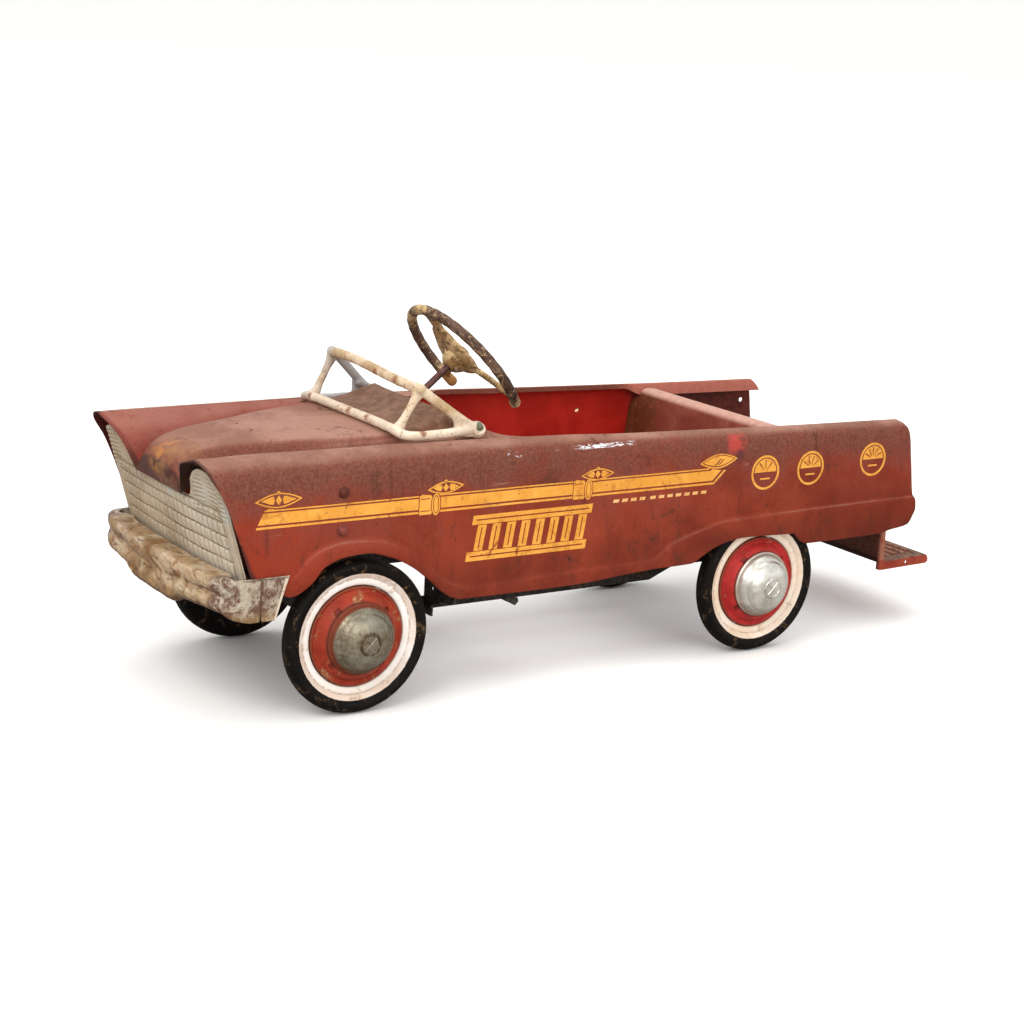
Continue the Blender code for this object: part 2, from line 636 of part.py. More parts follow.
# ---------------------------------------------------------------- rear step
# riser behind the crossmember, ribbed tread, side lips
STEP_X = 140.0              # half width at the riser
STEP_TAPER = 0.08           # each side draws in by this per mm of tread
TREAD_Y = 560               # the taper starts here
# y, z: riser, tread and turned-down rear lip
STEP_RISER = [(551, 184), (549.5, 160), (549.5, 96), (551, 91.5), (555, 90), (563, 90)]
STEP_END = [(652, 90), (656, 88), (657, 82)]
RIB = [(0, 90), (3, 93), (8, 93), (11, 90)]     # y from the rib's start, z
RIB_COUNT, RIB_START, RIB_PITCH = 5, 567, 16
# side lips: y, z of the riser's; distance along the edge, z of the tread's
RISER_LIP = [(549.6, 78), (560.6, 78), (560.6, 183.6), (549.6, 183.6)]
TREAD_LIP = [(-1, 78), (96, 77), (96, 88.2), (-1, 89.5)]
LIP_RANGE = (-1.7, -0.1)    # lip faces, counted outwards from the step's edge


def make_step():
    ribs = [(RIB_START + RIB_PITCH * k + y, z) for k in range(RIB_COUNT) for y, z in RIB]
    grid = []
    for y, z in STEP_RISER + ribs + STEP_END:
        half = STEP_X - max(0.0, y - TREAD_Y) * STEP_TAPER
        grid.append([(half * s, y, z) for s in (-1, -0.95, 0, 0.95, 1)])
    step = build("step", skin_data(grid, (0, -0.3, 1), 1.8), RED)
    for side, sign in SIDES:
        slant = math.hypot(1.0, STEP_TAPER)
        along = np.array([-sign * STEP_TAPER, 1.0, 0.0]) / slant
        outward = np.array([sign * 1.0, STEP_TAPER, 0.0]) / slant
        join(step, prism_data(RISER_LIP, (sign * STEP_X, 0, 0), AXIS_Y, AXIS_Z, (sign, 0, 0),
                              *LIP_RANGE), f"riser_lip_{side}")
        join(step, prism_data(TREAD_LIP, (sign * STEP_X, TREAD_Y, 0), along, AXIS_Z, outward,
                              *LIP_RANGE), f"tread_lip_{side}")
        cut(step, cylinder_data((sign * 125, 610, 83.5), (sign * 145, 610, 83.5), 2.2, 10),
            f"hole_step_{side}")


# ---------------------------------------------------------------- wheels
# profiles: radius, distance outwards from the tyre's face
HUB_BORE = AXLE_R + RUN_FIT
TYRE = [(62.5, -21), (62.5, -12), (66, -8.2), (72.4, -8.4), (79.5, -3.2), (87, 0.0),
        (92, -2.8), (WHEEL_R, -11.0), (94.4, -17.5), (89.5, -23.6), (80, -25.5)]
DISC = [(62.0, -8.5), (60.0, -7.5), (56.0, -8.0), (48.5, -1.0), (42.0, 1.9), (11.0, 3.0),
        (11.0, 12.0), (HUB_BORE, 12.0), (HUB_BORE, -34.0), (11.0, -34.0), (11.0, 0.5),
        (41.0, -0.5), (57.5, -13.0), (57.5, -22.0), (62.0, -22.5)]
# inside of the domed cap, then its outside
HUBCAP = [(0, 26.4), (13.5, 25.4), (24.2, 21.7), (32.8, 16.5), (39.0, 10.0), (41.4, 2.3),
          (43.2, 2.3), (43.6, 4.0), (40.5, 11.0), (34.0, 17.8), (25.0, 23.3), (14.0, 27.0),
          (0, 28.0)]
# label, profile, material, segments
WHEEL_PARTS = (("tyre", TYRE, RUBBER, 28), ("wheel_disc", DISC, DISC_RED, 18),
               ("hubcap", HUBCAP, CHROME, 18))


def make_wheel(corner, sign, y, face):
    """The pieces of one wheel, centred on the axle at y with its tyre's face at x = face."""
    return [build(f"{label}_{corner}",
                  lathe_data([(radius, face + out) for radius, out in profile],
                             (0, y, AXLE_HEIGHT), (sign, 0, 0), count),
                  mat, origin=(sign * face, y, AXLE_HEIGHT))
            for label, profile, mat, count in WHEEL_PARTS]


def make_front_corner(side, sign):
    """Kingpin, stub axle and steering arm, with the wheel they carry."""
    x, y = sign * KING_X, -AXLE_Y
    king = (x, y, AXLE_HEIGHT)
    spindle = build(f"spindle_{side}", cylinder_data((x, y, 78), (x, y, 112.0), KING_R),
                    STEEL, origin=king)
    join(spindle, cylinder_data(king, (sign * AXLE_END_X, y, AXLE_HEIGHT), AXLE_R),
         f"stub_{side}")
    join(spindle, box_data((x - 7, x + 7), (y - 7, y + 50), (108.4, 111.4)), f"arm_{side}")
    cut(spindle, slot_data(ARM - 1.0, ARM + 3.5, 4.0, (x, y, 0), AXIS_Y, AXIS_X, AXIS_Z,
                           100, 120), f"arm_slot_{side}")
    steer = pivot(f"kingpin_axis_{side}", king)
    carry(steer, spindle)
    spin = pivot(f"front_wheel_axis_{side}", (sign * FRONT_FACE_X, y, AXLE_HEIGHT))
    carry(steer, spin)
    carry(spin, *make_wheel(f"front_{side}", sign, y, FRONT_FACE_X))


# ---------------------------------------------------------------- drive
# x, height above the axle's line, from the left end to the right
CRANK_PATH = [(AXLE_END_X, 0), (CRANK_OUT, 0), (CRANK_OUT, CRANK), (CRANK_IN, CRANK),
              (CRANK_IN, 0), (-CRANK_IN, 0), (-CRANK_IN, -CRANK), (-CRANK_OUT, -CRANK),
              (-CRANK_OUT, 0), (-AXLE_END_X, 0)]
ROD_X = (41.5, 46.7)        # inner and outer face of a drive rod
ROD_PIN_X = (CRANK_IN + CRANK_OUT) / 2
PEDAL_LEAN = math.radians(28.0)
PEDAL_OFFSET = 5.2          # inner end of the pad, counted outwards from the arm
PEDAL_LENGTH = 36.5
# distance along the sole, distance towards the foot
PAD = [(-19, 2), (-17, 9), (-12, 10), (-9, 8.2), (-6, 10), (-2, 10), (0, 8.2), (2, 10), (6, 10),
       (9, 8.2), (12, 10), (17, 9), (19, 2), (9, -1), (7, -6.5), (3, -8.6), (-3, -8.6),
       (-7, -6.5), (-9, -1)]


def make_rear_axle():
    """Cranked axle; it drives the left wheel, and the right wheel runs free."""
    centre = (0, AXLE_Y, AXLE_HEIGHT)
    path = [(x, AXLE_Y, AXLE_HEIGHT + z) for x, z in CRANK_PATH]
    axle = build("rear_axle", tube_data(path, AXLE_R, 14), STEEL, origin=centre)
    drive = pivot("rear_axle_axis", centre)
    carry(drive, axle, *make_wheel("rear_left", 1, AXLE_Y, REAR_FACE_X))
    free = pivot("rear_right_wheel_axis", (-REAR_FACE_X, AXLE_Y, AXLE_HEIGHT))
    carry(free, *make_wheel("rear_right", -1, AXLE_Y, REAR_FACE_X))
    return drive


def make_drive_rod(side, sign, drive):
    """Flat rod from the crank pin forward to the foot of the pedal arm."""
    pin = np.array([sign * ROD_PIN_X, AXLE_Y, AXLE_HEIGHT + sign * CRANK])
    front = np.array([sign * ROD_PIN_X, *PEDAL_PIN])
    low, high = sorted(sign * x - pin[0] for x in ROD_X)
    along = front - pin
    length = np.linalg.norm(along)
    along = along / length
    outline = [(-2, -6), (length, -6), (length + 5, -3), (length + 5, 3), (length, 6), (-2, 6)]
    rod = build(f"drive_rod_{side}",
                prism_data(outline, pin, along, np.cross(AXIS_X, along), AXIS_X, low, high),
                STEEL, origin=pin)
    eye = [(0, low - 0.4), (10.5, low - 0.4), (10.5, high + 0.4), (0, high + 0.4)]
    join(rod, lathe_data(eye, pin, AXIS_X, 20), f"rod_eye_{side}")
    cut(rod, cylinder_data(pin - AXIS_X * 12, pin + AXIS_X * 12, AXLE_R + LOOSE_FIT, 20),
        f"rod_bore_{side}")
    crank_pin = pivot(f"crank_pin_axis_{side}", pin)
    carry(drive, crank_pin)
    carry(crank_pin, rod)


def make_pedal(side, sign):
    """Bent arm that hangs from the pedal shaft, and the rubber pad on its pin."""
    top = np.array([sign * PEDAL_ARM_X, *PEDAL_PIVOT])
    low = np.array([sign * PEDAL_ARM_X, *PEDAL_PIN])
    bore = PEDAL_ROD_R + LOOSE_FIT
    path = [top + (low - top) * 0.03, low, low + np.array([sign * 42.5, 0, 0])]
    arm = build(f"pedal_arm_{side}", tube_data(path, PEDAL_ROD_R, 12), STEEL, origin=top)
    join(arm, lathe_data([(0, -6), (9, -6), (9, 6), (0, 6)], top, AXIS_X, 18), f"arm_eye_{side}")
    cut(arm, cylinder_data(top - AXIS_X * 12, top + AXIS_X * 12, bore, 18), f"arm_bore_{side}")
    swing = pivot(f"pedal_arm_axis_{side}", top)
    carry(swing, arm)

    # the pad lies across the pin and leans towards the foot
    inner_end = low + np.array([sign * PEDAL_OFFSET, 0, 0])
    along_sole = (0.0, -math.sin(PEDAL_LEAN), math.cos(PEDAL_LEAN))
    to_foot = (0.0, math.cos(PEDAL_LEAN), math.sin(PEDAL_LEAN))
    pedal = build(f"pedal_{side}", prism_data(PAD, inner_end, along_sole, to_foot, (sign, 0, 0),
                                              0, PEDAL_LENGTH), PEDAL_RUBBER, origin=low)
    cut(pedal, cylinder_data(inner_end - AXIS_X * 50, inner_end + AXIS_X * 50, bore),
        f"pedal_bore_{side}")
    turn = pivot(f"pedal_axis_{side}", low)
    carry(swing, turn)
    carry(turn, pedal)


# ---------------------------------------------------------------- steering
RIM_DROP = 12.9             # the rim's centre sits this far below the hub
RIM_R = 91.7
RIM_END = 122.0             # the rim is open at the bottom: degrees from its top to each end
# shield-shaped boss that carries the spokes: across, up the wheel's face
BOSS = [(-7, 42), (7, 42), (17, 24), (26, 2), (24, -12), (12, -20), (-12, -20), (-24, -12),
        (-26, 2), (-17, 24)]
# radius, distance towards the driver
CONE = [(0, -20), (9, -20), (17, -12), (22, -3), (22, 0), (0, 0)]
NUT = [(0, 8), (8.5, 8), (8.5, 12), (6.5, 15), (3, 17), (0, 17.4)]
TIE_CENTRE = np.array([0.0, -AXLE_Y + ARM, 114.4])
TIE_HALF = 6                # half width of the flat bar


def rim_point(degrees):
    angle = math.radians(degrees)
    return on_column(RIM_R * math.sin(angle), RIM_R * math.cos(angle) - RIM_DROP, 0.0)


def make_steering_wheel():
    rim = [rim_point(degrees) for degrees in np.linspace(-RIM_END, RIM_END, 27)]
    wheel = build("steering_wheel", tube_data(rim, 6.4, 10), BROWN, origin=COL_HUB)
    join(wheel, prism_data(BOSS, COL_HUB, AXIS_X, COL_UP, COL_AXIS, -4.5, 3.5), "wheel_boss")
    join(wheel, lathe_data(CONE, COL_HUB, COL_AXIS, 16), "wheel_cone")
    top_spoke = [on_column(0, 30, 0), on_column(0, RIM_R - RIM_DROP - 1, 0)]
    join(wheel, tube_data(top_spoke, 7.5, 8, depth=4.5), "wheel_spoke_top")
    for side, sign in SIDES:
        spoke = [on_column(sign * 14, -12, 0), rim_point(sign * (RIM_END - 7))]
        join(wheel, tube_data(spoke, 4.6, 8), f"wheel_spoke_{side}")
    cut(wheel, cylinder_data(on_column(0, 0, -40), on_column(0, 0, 20), COL_R + RUN_FIT),
        "wheel_bore")
    return wheel


def make_steering():
    wheel = make_steering_wheel()
    path = [on_column(0, up, along)
            for up, along in ((0, 7.5), (0, -308), (-COL_CRANK, -308), (-COL_CRANK, -329))]
    column = build("steering_column", tube_data(path, COL_R, 12), STEEL, origin=COL_HUB)
    nut = build("steering_nut", lathe_data(NUT, COL_HUB, COL_AXIS, 6), CHROME, origin=COL_HUB)
    carry(pivot("steering_axis", COL_HUB), wheel, column, nut)


def make_tie_rod():
    """Bar between the steering arms, with a slotted yoke round the column's bent end."""
    y = TIE_CENTRE[1]
    tie = build("tie_rod", box_data((-129, 129), (y - TIE_HALF, y + TIE_HALF), (113.0, 116.0)),
                STEEL, origin=TIE_CENTRE)
    # height of the column's bent end above the tie rod, up the yoke
    pin_up = float(np.dot(COL_HUB, COL_UP) - COL_CRANK - np.dot(TIE_CENTRE, COL_UP))
    yoke = [(-15, -1.0), (15, -1.0), (15, pin_up + 8), (10, pin_up + 15), (-10, pin_up + 15),
            (-15, pin_up + 8)]
    join(tie, prism_data(yoke, TIE_CENTRE, AXIS_X, COL_UP, COL_AXIS, -1.6, 1.6), "tie_yoke")
    cut(tie, slot_data(pin_up - 0.6, pin_up + 4.0, COL_R + 0.75, TIE_CENTRE,
                       COL_UP, AXIS_X, COL_AXIS, -8, 8), "tie_slot")
    for side, sign in SIDES:
        x = sign * KING_X
        join(tie, cylinder_data((x, y, 107.2), (x, y, 114.5), 3.0, 12), f"tie_pin_{side}")
    carry(pivot("tie_rod_axis", TIE_CENTRE), tie)


# ---------------------------------------------------------------- the car
make_side_panels()
make_hood()
make_grille()
make_bumper()
make_seat()
make_dash()
make_windscreen()
make_fender_bolts()
make_front_beam()
make_hanger()
make_column_strut()
make_cross_bars()
make_step()
drive_pivot = make_rear_axle()
for side_name, side_sign in SIDES:
    make_rail(side_name, side_sign)
    make_posts(side_name, side_sign)
    make_sill_bracket(side_name, side_sign)
    make_front_corner(side_name, side_sign)
    make_drive_rod(side_name, side_sign, drive_pivot)
    make_pedal(side_name, side_sign)
make_steering()
make_tie_rod()
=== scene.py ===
"""Looks of a pressed-steel pedal car: worn paint, rubber, plated caps and printed markings.

Shapes are in millimetres: +X is the car's left, -Y its front, +Z up, with the floor at z = 0.
Materials read positions in metres from DATUM, the point every piece is built around.
"""
import math
from functools import cached_property

import bmesh
import bpy
import numpy as np
from mathutils import Matrix, Vector


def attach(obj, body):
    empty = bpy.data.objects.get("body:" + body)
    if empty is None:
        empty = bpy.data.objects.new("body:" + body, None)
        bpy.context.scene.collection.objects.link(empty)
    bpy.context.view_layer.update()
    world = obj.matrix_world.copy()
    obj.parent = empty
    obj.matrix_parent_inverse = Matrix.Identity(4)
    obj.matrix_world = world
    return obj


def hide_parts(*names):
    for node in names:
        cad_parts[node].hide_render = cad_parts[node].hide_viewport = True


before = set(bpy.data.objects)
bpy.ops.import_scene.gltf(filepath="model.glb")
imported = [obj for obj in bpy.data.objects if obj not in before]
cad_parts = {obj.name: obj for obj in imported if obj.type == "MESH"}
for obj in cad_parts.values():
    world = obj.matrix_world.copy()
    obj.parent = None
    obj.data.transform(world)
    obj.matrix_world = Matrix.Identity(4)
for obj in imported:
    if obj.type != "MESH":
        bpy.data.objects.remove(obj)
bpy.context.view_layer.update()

scene = bpy.context.scene

# ------------------------------------------------------------------ dimensions
MM = 0.001
DATUM = np.array([0.0, 74.0, 0.0])
X = np.array([1.0, 0.0, 0.0])
SIDES = (("left", 1), ("right", -1))

AXLE_Y, AXLE_Z = 306.0, 95.0                    # the front axle lies at -AXLE_Y
FRONT_FACE_X, REAR_FACE_X = 176.0, 174.5        # outer faces of the wheels
WALL_X = 178.0                                  # flat part of the body sides

COLUMN_TILT = math.radians(39.5)
COLUMN_HUB = np.array([0.0, -79.5, 393.1])
COLUMN_AXIS = np.array([0.0, math.cos(COLUMN_TILT), math.sin(COLUMN_TILT)])
COLUMN_UP = np.array([0.0, -math.sin(COLUMN_TILT), math.cos(COLUMN_TILT)])
COLUMN_R, COLUMN_CRANK = 4.4, 35.0
RIM_DROP, RIM_R, RIM_END = 12.9, 91.7, 122.0    # the open rim ends RIM_END degrees off its top


# ------------------------------------------------------------------ curves
def smooth(start, end, value):
    t = np.clip((np.asarray(value, float) - start) / (end - start), 0, 1)
    return t * t * (3 - 2 * t)


def slopes(rise, step):
    """Monotone (Fritsch-Carlson) slopes at the points between rises over steps."""
    out = np.zeros((len(rise) + 1, *rise.shape[1:]))
    out[0], out[-1] = rise[0], rise[-1]
    before, after = rise[:-1], rise[1:]
    step_a, step_b = step[:-1], step[1:]
    weight_a, weight_b = 2 * step_b + step_a, step_b + 2 * step_a
    with np.errstate(divide="ignore", invalid="ignore"):
        mean = (weight_a + weight_b) / (weight_a / before + weight_b / after)
    out[1:-1] = np.where(before * after > 0, mean, 0.0)
    return out


def hermite(xs, ys, at):
    """Smooth monotone curve through (xs, ys) read at the given places. ys may hold vectors."""
    xs, ys, at = np.asarray(xs, float), np.asarray(ys, float), np.asarray(at, float)
    column = (-1, *[1] * (ys.ndim - 1))
    steps = np.diff(xs).reshape(column)
    m = slopes(np.diff(ys, axis=0) / steps, steps)
    flat = at.reshape(-1)
    i = np.clip(np.searchsorted(xs, flat) - 1, 0, len(xs) - 2)
    step = (xs[i + 1] - xs[i]).reshape(column)
    t = np.clip((flat - xs[i]) / (xs[i + 1] - xs[i]), 0, 1).reshape(column)
    t2, t3 = t * t, t * t * t
    out = ((2 * t3 - 3 * t2 + 1) * ys[i] + (t3 - 2 * t2 + t) * step * m[i]
           + (-2 * t3 + 3 * t2) * ys[i + 1] + (t3 - t2) * step * m[i + 1])
    return out.reshape(at.shape + ys.shape[1:])


def curve(*pairs):
    xs, ys = zip(*pairs)
    return lambda at: hermite(xs, ys, at)


def finer(points, per, axis=0):
    """Resamples a grid along one axis: per samples for each step, or at given positions."""
    points = np.moveaxis(np.asarray(points, float), axis, 0)
    count = len(points)
    at = np.linspace(0, count - 1, (count - 1) * per + 1) if np.isscalar(per) else per
    return np.moveaxis(hermite(np.arange(count), points, at), 0, axis)


def ripple(a, b, seed, size):
    """Smooth fixed unevenness, about -1 to 1, with bumps of about the given size."""
    rng = np.random.default_rng(seed)
    total = np.zeros(np.broadcast(a, b).shape)
    for _ in range(7):
        angle, phase = rng.uniform(0, math.tau, 2)
        pitch = rng.uniform(0.6, 1.7) * math.tau / size
        total = total + np.sin((a * math.cos(angle) + b * math.sin(angle)) * pitch + phase)
    return total / 3.2


def mirrored(points):
    """Runs from the mirror image in -X through the middle point to the given +X half."""
    return [(-x, y, z) for x, y, z in points[:0:-1]] + points


# ------------------------------------------------------------------ mesh making
def link_object(name, data):
    obj = bpy.data.objects.new(name, data)
    scene.collection.objects.link(obj)
    return obj


def plain_mesh(name, verts, faces):
    mesh = bpy.data.meshes.new(name)
    mesh.from_pydata(np.asarray(verts).tolist(), [], [tuple(int(i) for i in f) for f in faces])
    return mesh


def outward_mesh(name, verts, faces):
    mesh = plain_mesh(name, verts, faces)
    bm = bmesh.new()
    bm.from_mesh(mesh)
    bmesh.ops.recalc_face_normals(bm, faces=bm.faces)
    bm.to_mesh(mesh)
    bm.free()
    return mesh


def shade(mesh, sharp):
    mesh.shade_smooth()
    mesh.set_sharp_from_angle(angle=math.radians(sharp))


def add_attributes(mesh, attributes):
    for label, values in attributes.items():
        layer = mesh.attributes.new(label, "FLOAT", "POINT")
        layer.data.foreach_set("value", np.asarray(values, np.float32))


def finish_object(name, mesh, material, replaced, sharp, body):
    mesh.materials.clear()
    mesh.materials.append(material)
    shade(mesh, sharp)
    obj = link_object(name, mesh)
    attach(obj, body)
    if replaced:
        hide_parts(replaced)
    return obj


def mesh_object(name, verts, faces, material, slot, replaced=None, sharp=40.0, body="chassis",
                attributes={}):
    mesh = outward_mesh(name, (np.asarray(verts, float) - DATUM) * MM, faces)
    add_attributes(mesh, attributes)
    return finish_object(name, mesh, material, replaced, sharp, body)


def sheet(grid, outward, thick):
    """Closed sheet whose outer face follows a grid of points."""
    outer = np.asarray(grid, float)
    rows, cols = outer.shape[:2]
    normal = np.cross(np.gradient(outer, axis=1), np.gradient(outer, axis=0))
    normal /= np.maximum(np.linalg.norm(normal, axis=2, keepdims=True), 1e-9)
    if np.dot(normal[rows // 2, cols // 2], outward) < 0:
        normal = -normal
    inner = outer - normal * thick
    count = rows * cols
    index = np.arange(count).reshape(rows, cols)
    a, b, c, d = index[:-1, :-1], index[:-1, 1:], index[1:, 1:], index[1:, :-1]
    quads = [np.stack([a, b, c, d], -1).reshape(-1, 4),
             np.stack([a, d, c, b], -1).reshape(-1, 4) + count]
    for line in (index[:, 0], index[::-1, -1], index[-1, :], index[0, ::-1]):
        quads.append(np.stack([line[:-1], line[1:], line[1:] + count, line[:-1] + count], -1))
    return np.concatenate([outer.reshape(-1, 3), inner.reshape(-1, 3)]), np.concatenate(quads)


def sheet_object(name, grid, outward, material, slot, replaced=None, thick=1.5, sharp=50,
                 attributes={}):
    both_faces = {label: np.tile(values.ravel(), 2) for label, values in attributes.items()}
    return mesh_object(name, *sheet(grid, outward, thick), material, slot, replaced, sharp,
                       attributes=both_faces)


def turned(profile, origin, axis, sides=96, wave=None):
    """Solid turned from (radius, distance) points: verts, faces, radius, distance, angle."""
    axis = np.asarray(axis, float)
    ref = np.array([0.0, 0.0, 1.0]) if abs(axis[2]) < 0.9 else X
    u = ref - axis * np.dot(ref, axis)
    u /= np.linalg.norm(u)
    v = np.cross(axis, u)
    verts, rings, made_from = [], [], []
    for r, h in profile:
        if r < 1e-6:
            rings.append([len(verts)])
            verts.append(np.asarray(origin) + axis * h)
            made_from.append((0.0, h, 0.0))
            continue
        rings.append(list(range(len(verts), len(verts) + sides)))
        for t in np.linspace(0, math.tau, sides, endpoint=False):
            rr, hh = (r, h) if wave is None else wave(r, h, t)
            around = math.cos(t) * u + math.sin(t) * v
            verts.append(np.asarray(origin) + axis * hh + rr * around)
            made_from.append((r, h, t))
    faces = []
    pairs = list(zip(rings, rings[1:]))
    if not (profile[0][0] < 1e-6 and profile[-1][0] < 1e-6):
        pairs.append((rings[-1], rings[0]))
    for p, q in pairs:
        for j in range(sides):
            k = (j + 1) % sides
            if len(p) == 1:
                faces.append((p[0], q[j], q[k]))
            elif len(q) == 1:
                faces.append((p[j], p[k], q[0]))
            else:
                faces.append((p[j], p[k], q[k], q[j]))
    return np.array(verts), faces, *np.array(made_from).T


def lathe(name, profile, origin, axis, material, slot, replaced, sides=32, wave=None,
          body="chassis"):
    verts, faces, *_ = turned(profile, origin, axis, sides, wave)
    mesh_object(name, verts, faces, material, slot, replaced, 35, body)


def pin(radius, start, end, origin, axis, sides):
    """Plain cylinder, used for cutting holes."""
    profile = [(0, start), (radius, start), (radius, end), (0, end)]
    return turned(profile, origin, axis, sides)[:2]


def loft_faces(rings, sides):
    """Faces over stacked rings of vertices: the quads between them and the two end caps."""
    quads = []
    for k in range(rings - 1):
        for j in range(sides):
            a, b = k * sides + j, k * sides + (j + 1) % sides
            quads.append((a, b, b + sides, a + sides))
    caps = [tuple(range(sides))[::-1], tuple(range((rings - 1) * sides, rings * sides))]
    return quads, caps


def per_point(radii, points):
    radii = np.asarray(radii, float)
    return np.tile(radii, (len(points), 1)) if radii.ndim == 1 else radii


def bar(path, radii, sides=20, hint=None):
    """Oval bar along a path; radii holds one (across, through) pair or one for each point."""
    path = np.asarray(path, float)
    radii = per_point(radii, path)
    along = np.gradient(path, axis=0)
    along /= np.linalg.norm(along, axis=1, keepdims=True)
    if hint is None:
        hint = X if abs(along[0][0]) < 0.8 else (0, 0, 1)
    u = np.asarray(hint, float)
    u = u - along[0] * np.dot(u, along[0])
    u /= np.linalg.norm(u)
    verts = []
    for point, radius, forward in zip(path, radii, along):
        u = u - forward * np.dot(u, forward)
        u /= np.linalg.norm(u)
        v = np.cross(forward, u)
        for t in np.linspace(0, math.tau, sides, endpoint=False):
            verts.append(point + radius[0] * math.cos(t) * u + radius[1] * math.sin(t) * v)
    quads, caps = loft_faces(len(path), sides)
    return np.array(verts), quads + caps


def capped(path, radii, sides=20, hint=None):
    """Bar with rounded ends."""
    path = np.asarray(path, float)
    radii = per_point(radii, path)
    turns = np.linspace(0.08, 1, 6)[:-1]

    def dome(end, before, radius, turns):
        outward = end - before
        outward = outward / np.linalg.norm(outward)
        points = [end + outward * radius[1] * math.cos(t * math.pi / 2) * 0.9 for t in turns]
        return points, [radius * math.sin(t * math.pi / 2) for t in turns]

    first, first_radii = dome(path[0], path[1], radii[0], turns)
    last, last_radii = dome(path[-1], path[-2], radii[-1], turns[::-1])
    return bar(first + list(path) + last, first_radii + list(radii) + last_radii, sides, hint)


def slab(outline, x_low, x_high):
    """Flat (y, z) outline given thickness along X."""
    quads, caps = loft_faces(2, len(outline))
    return np.array([(x, y, z) for x in (x_low, x_high) for y, z in outline]), caps + quads


def together(parts):
    verts, faces, base = [], [], 0
    for part_verts, part_faces in parts:
        verts.append(np.asarray(part_verts, float))
        faces += [tuple(int(i) + base for i in face) for face in part_faces]
        base += len(part_verts)
    return np.concatenate(verts), faces


def add_cutter(target, mesh):
    cutter = link_object("cutter", mesh)
    cut = target.modifiers.new("cut", "BOOLEAN")
    cut.operation, cut.solver, cut.object = "DIFFERENCE", "EXACT", cutter
    return cutter


def evaluated_mesh(obj):
    bpy.context.view_layer.update()
    graph = bpy.context.evaluated_depsgraph_get()
    return bpy.data.meshes.new_from_object(obj.evaluated_get(graph), depsgraph=graph)


def drill(obj, spots, radius, axis=X, span=(-12, 12), sides=24, sharp=40):
    """Drills round holes through an object, one for each spot."""
    for spot in spots:
        verts, faces = pin(radius, *span, spot, axis, sides)
        cutter = add_cutter(obj, plain_mesh("drill", (verts - DATUM) * MM, faces))
        made = evaluated_mesh(obj)
        obj.modifiers.clear()
        old, obj.data = obj.data, made
        bpy.data.meshes.remove(old)
        bpy.data.objects.remove(cutter)
    shade(obj.data, sharp)


def cast(name, parts, voxel, passes, material, replaced, cutters, body="chassis",
         attributes_at=None, warp=None):
    """Melts overlapping solids into one cast piece with filleted joints, then cuts its holes."""
    raw = link_object(name + "_raw", outward_mesh(name + "_raw", *together(parts)))
    remesh = raw.modifiers.new("melt", "REMESH")
    remesh.mode = "VOXEL"
    remesh.voxel_size = voxel
    relax = raw.modifiers.new("relax", "SMOOTH")
    relax.factor = 0.5
    relax.iterations = passes
    extra = [add_cutter(raw, outward_mesh("cut", *cutter)) for cutter in cutters]
    made = evaluated_mesh(raw)
    made.name = name
    for obj in (raw, *extra):
        bpy.data.objects.remove(obj)
    points = np.empty(len(made.vertices) * 3, np.float32)
    made.vertices.foreach_get("co", points)
    points = points.reshape(-1, 3).astype(float)
    if warp is not None:
        points = warp(points)
    made.vertices.foreach_set("co", ((points - DATUM) * MM).astype(np.float32).ravel())
    made.update()
    if attributes_at:
        add_attributes(made, attributes_at(points))
    finish_object(name, made, material, replaced, 60, body)


# ------------------------------------------------------------------ material building
class Field:
    """A value in a material; arithmetic on it adds math nodes."""

    def __init__(self, paint, socket):
        self.paint, self.socket = paint, socket

    def __add__(self, other):
        return self.paint.math("ADD", self, other)

    def __sub__(self, other):
        return self.paint.math("SUBTRACT", self, other)

    def __rsub__(self, other):
        return self.paint.math("SUBTRACT", other, self)

    def __mul__(self, other):
        return self.paint.math("MULTIPLY", self, other)

    def most(self, other):
        return self.paint.math("MAXIMUM", self, other)

    def absolute(self):
        return self.paint.node("ShaderNodeMath", {0: self}, operation="ABSOLUTE")

    def clamped(self):
        self.socket.node.use_clamp = True
        return self

    def shake(self, amount):
        """A noise centred on 0, for roughening an outline."""
        return (self - 0.5) * amount

    def ramp(self, start, end, low=0.0, high=1.0):
        """Eases from low to high as the value goes from start to end."""
        return self.paint.node(
            "ShaderNodeMapRange", {"Value": self, "From Min": start, "From Max": end,
                                   "To Min": low, "To Max": high}, interpolation_type="SMOOTHSTEP")


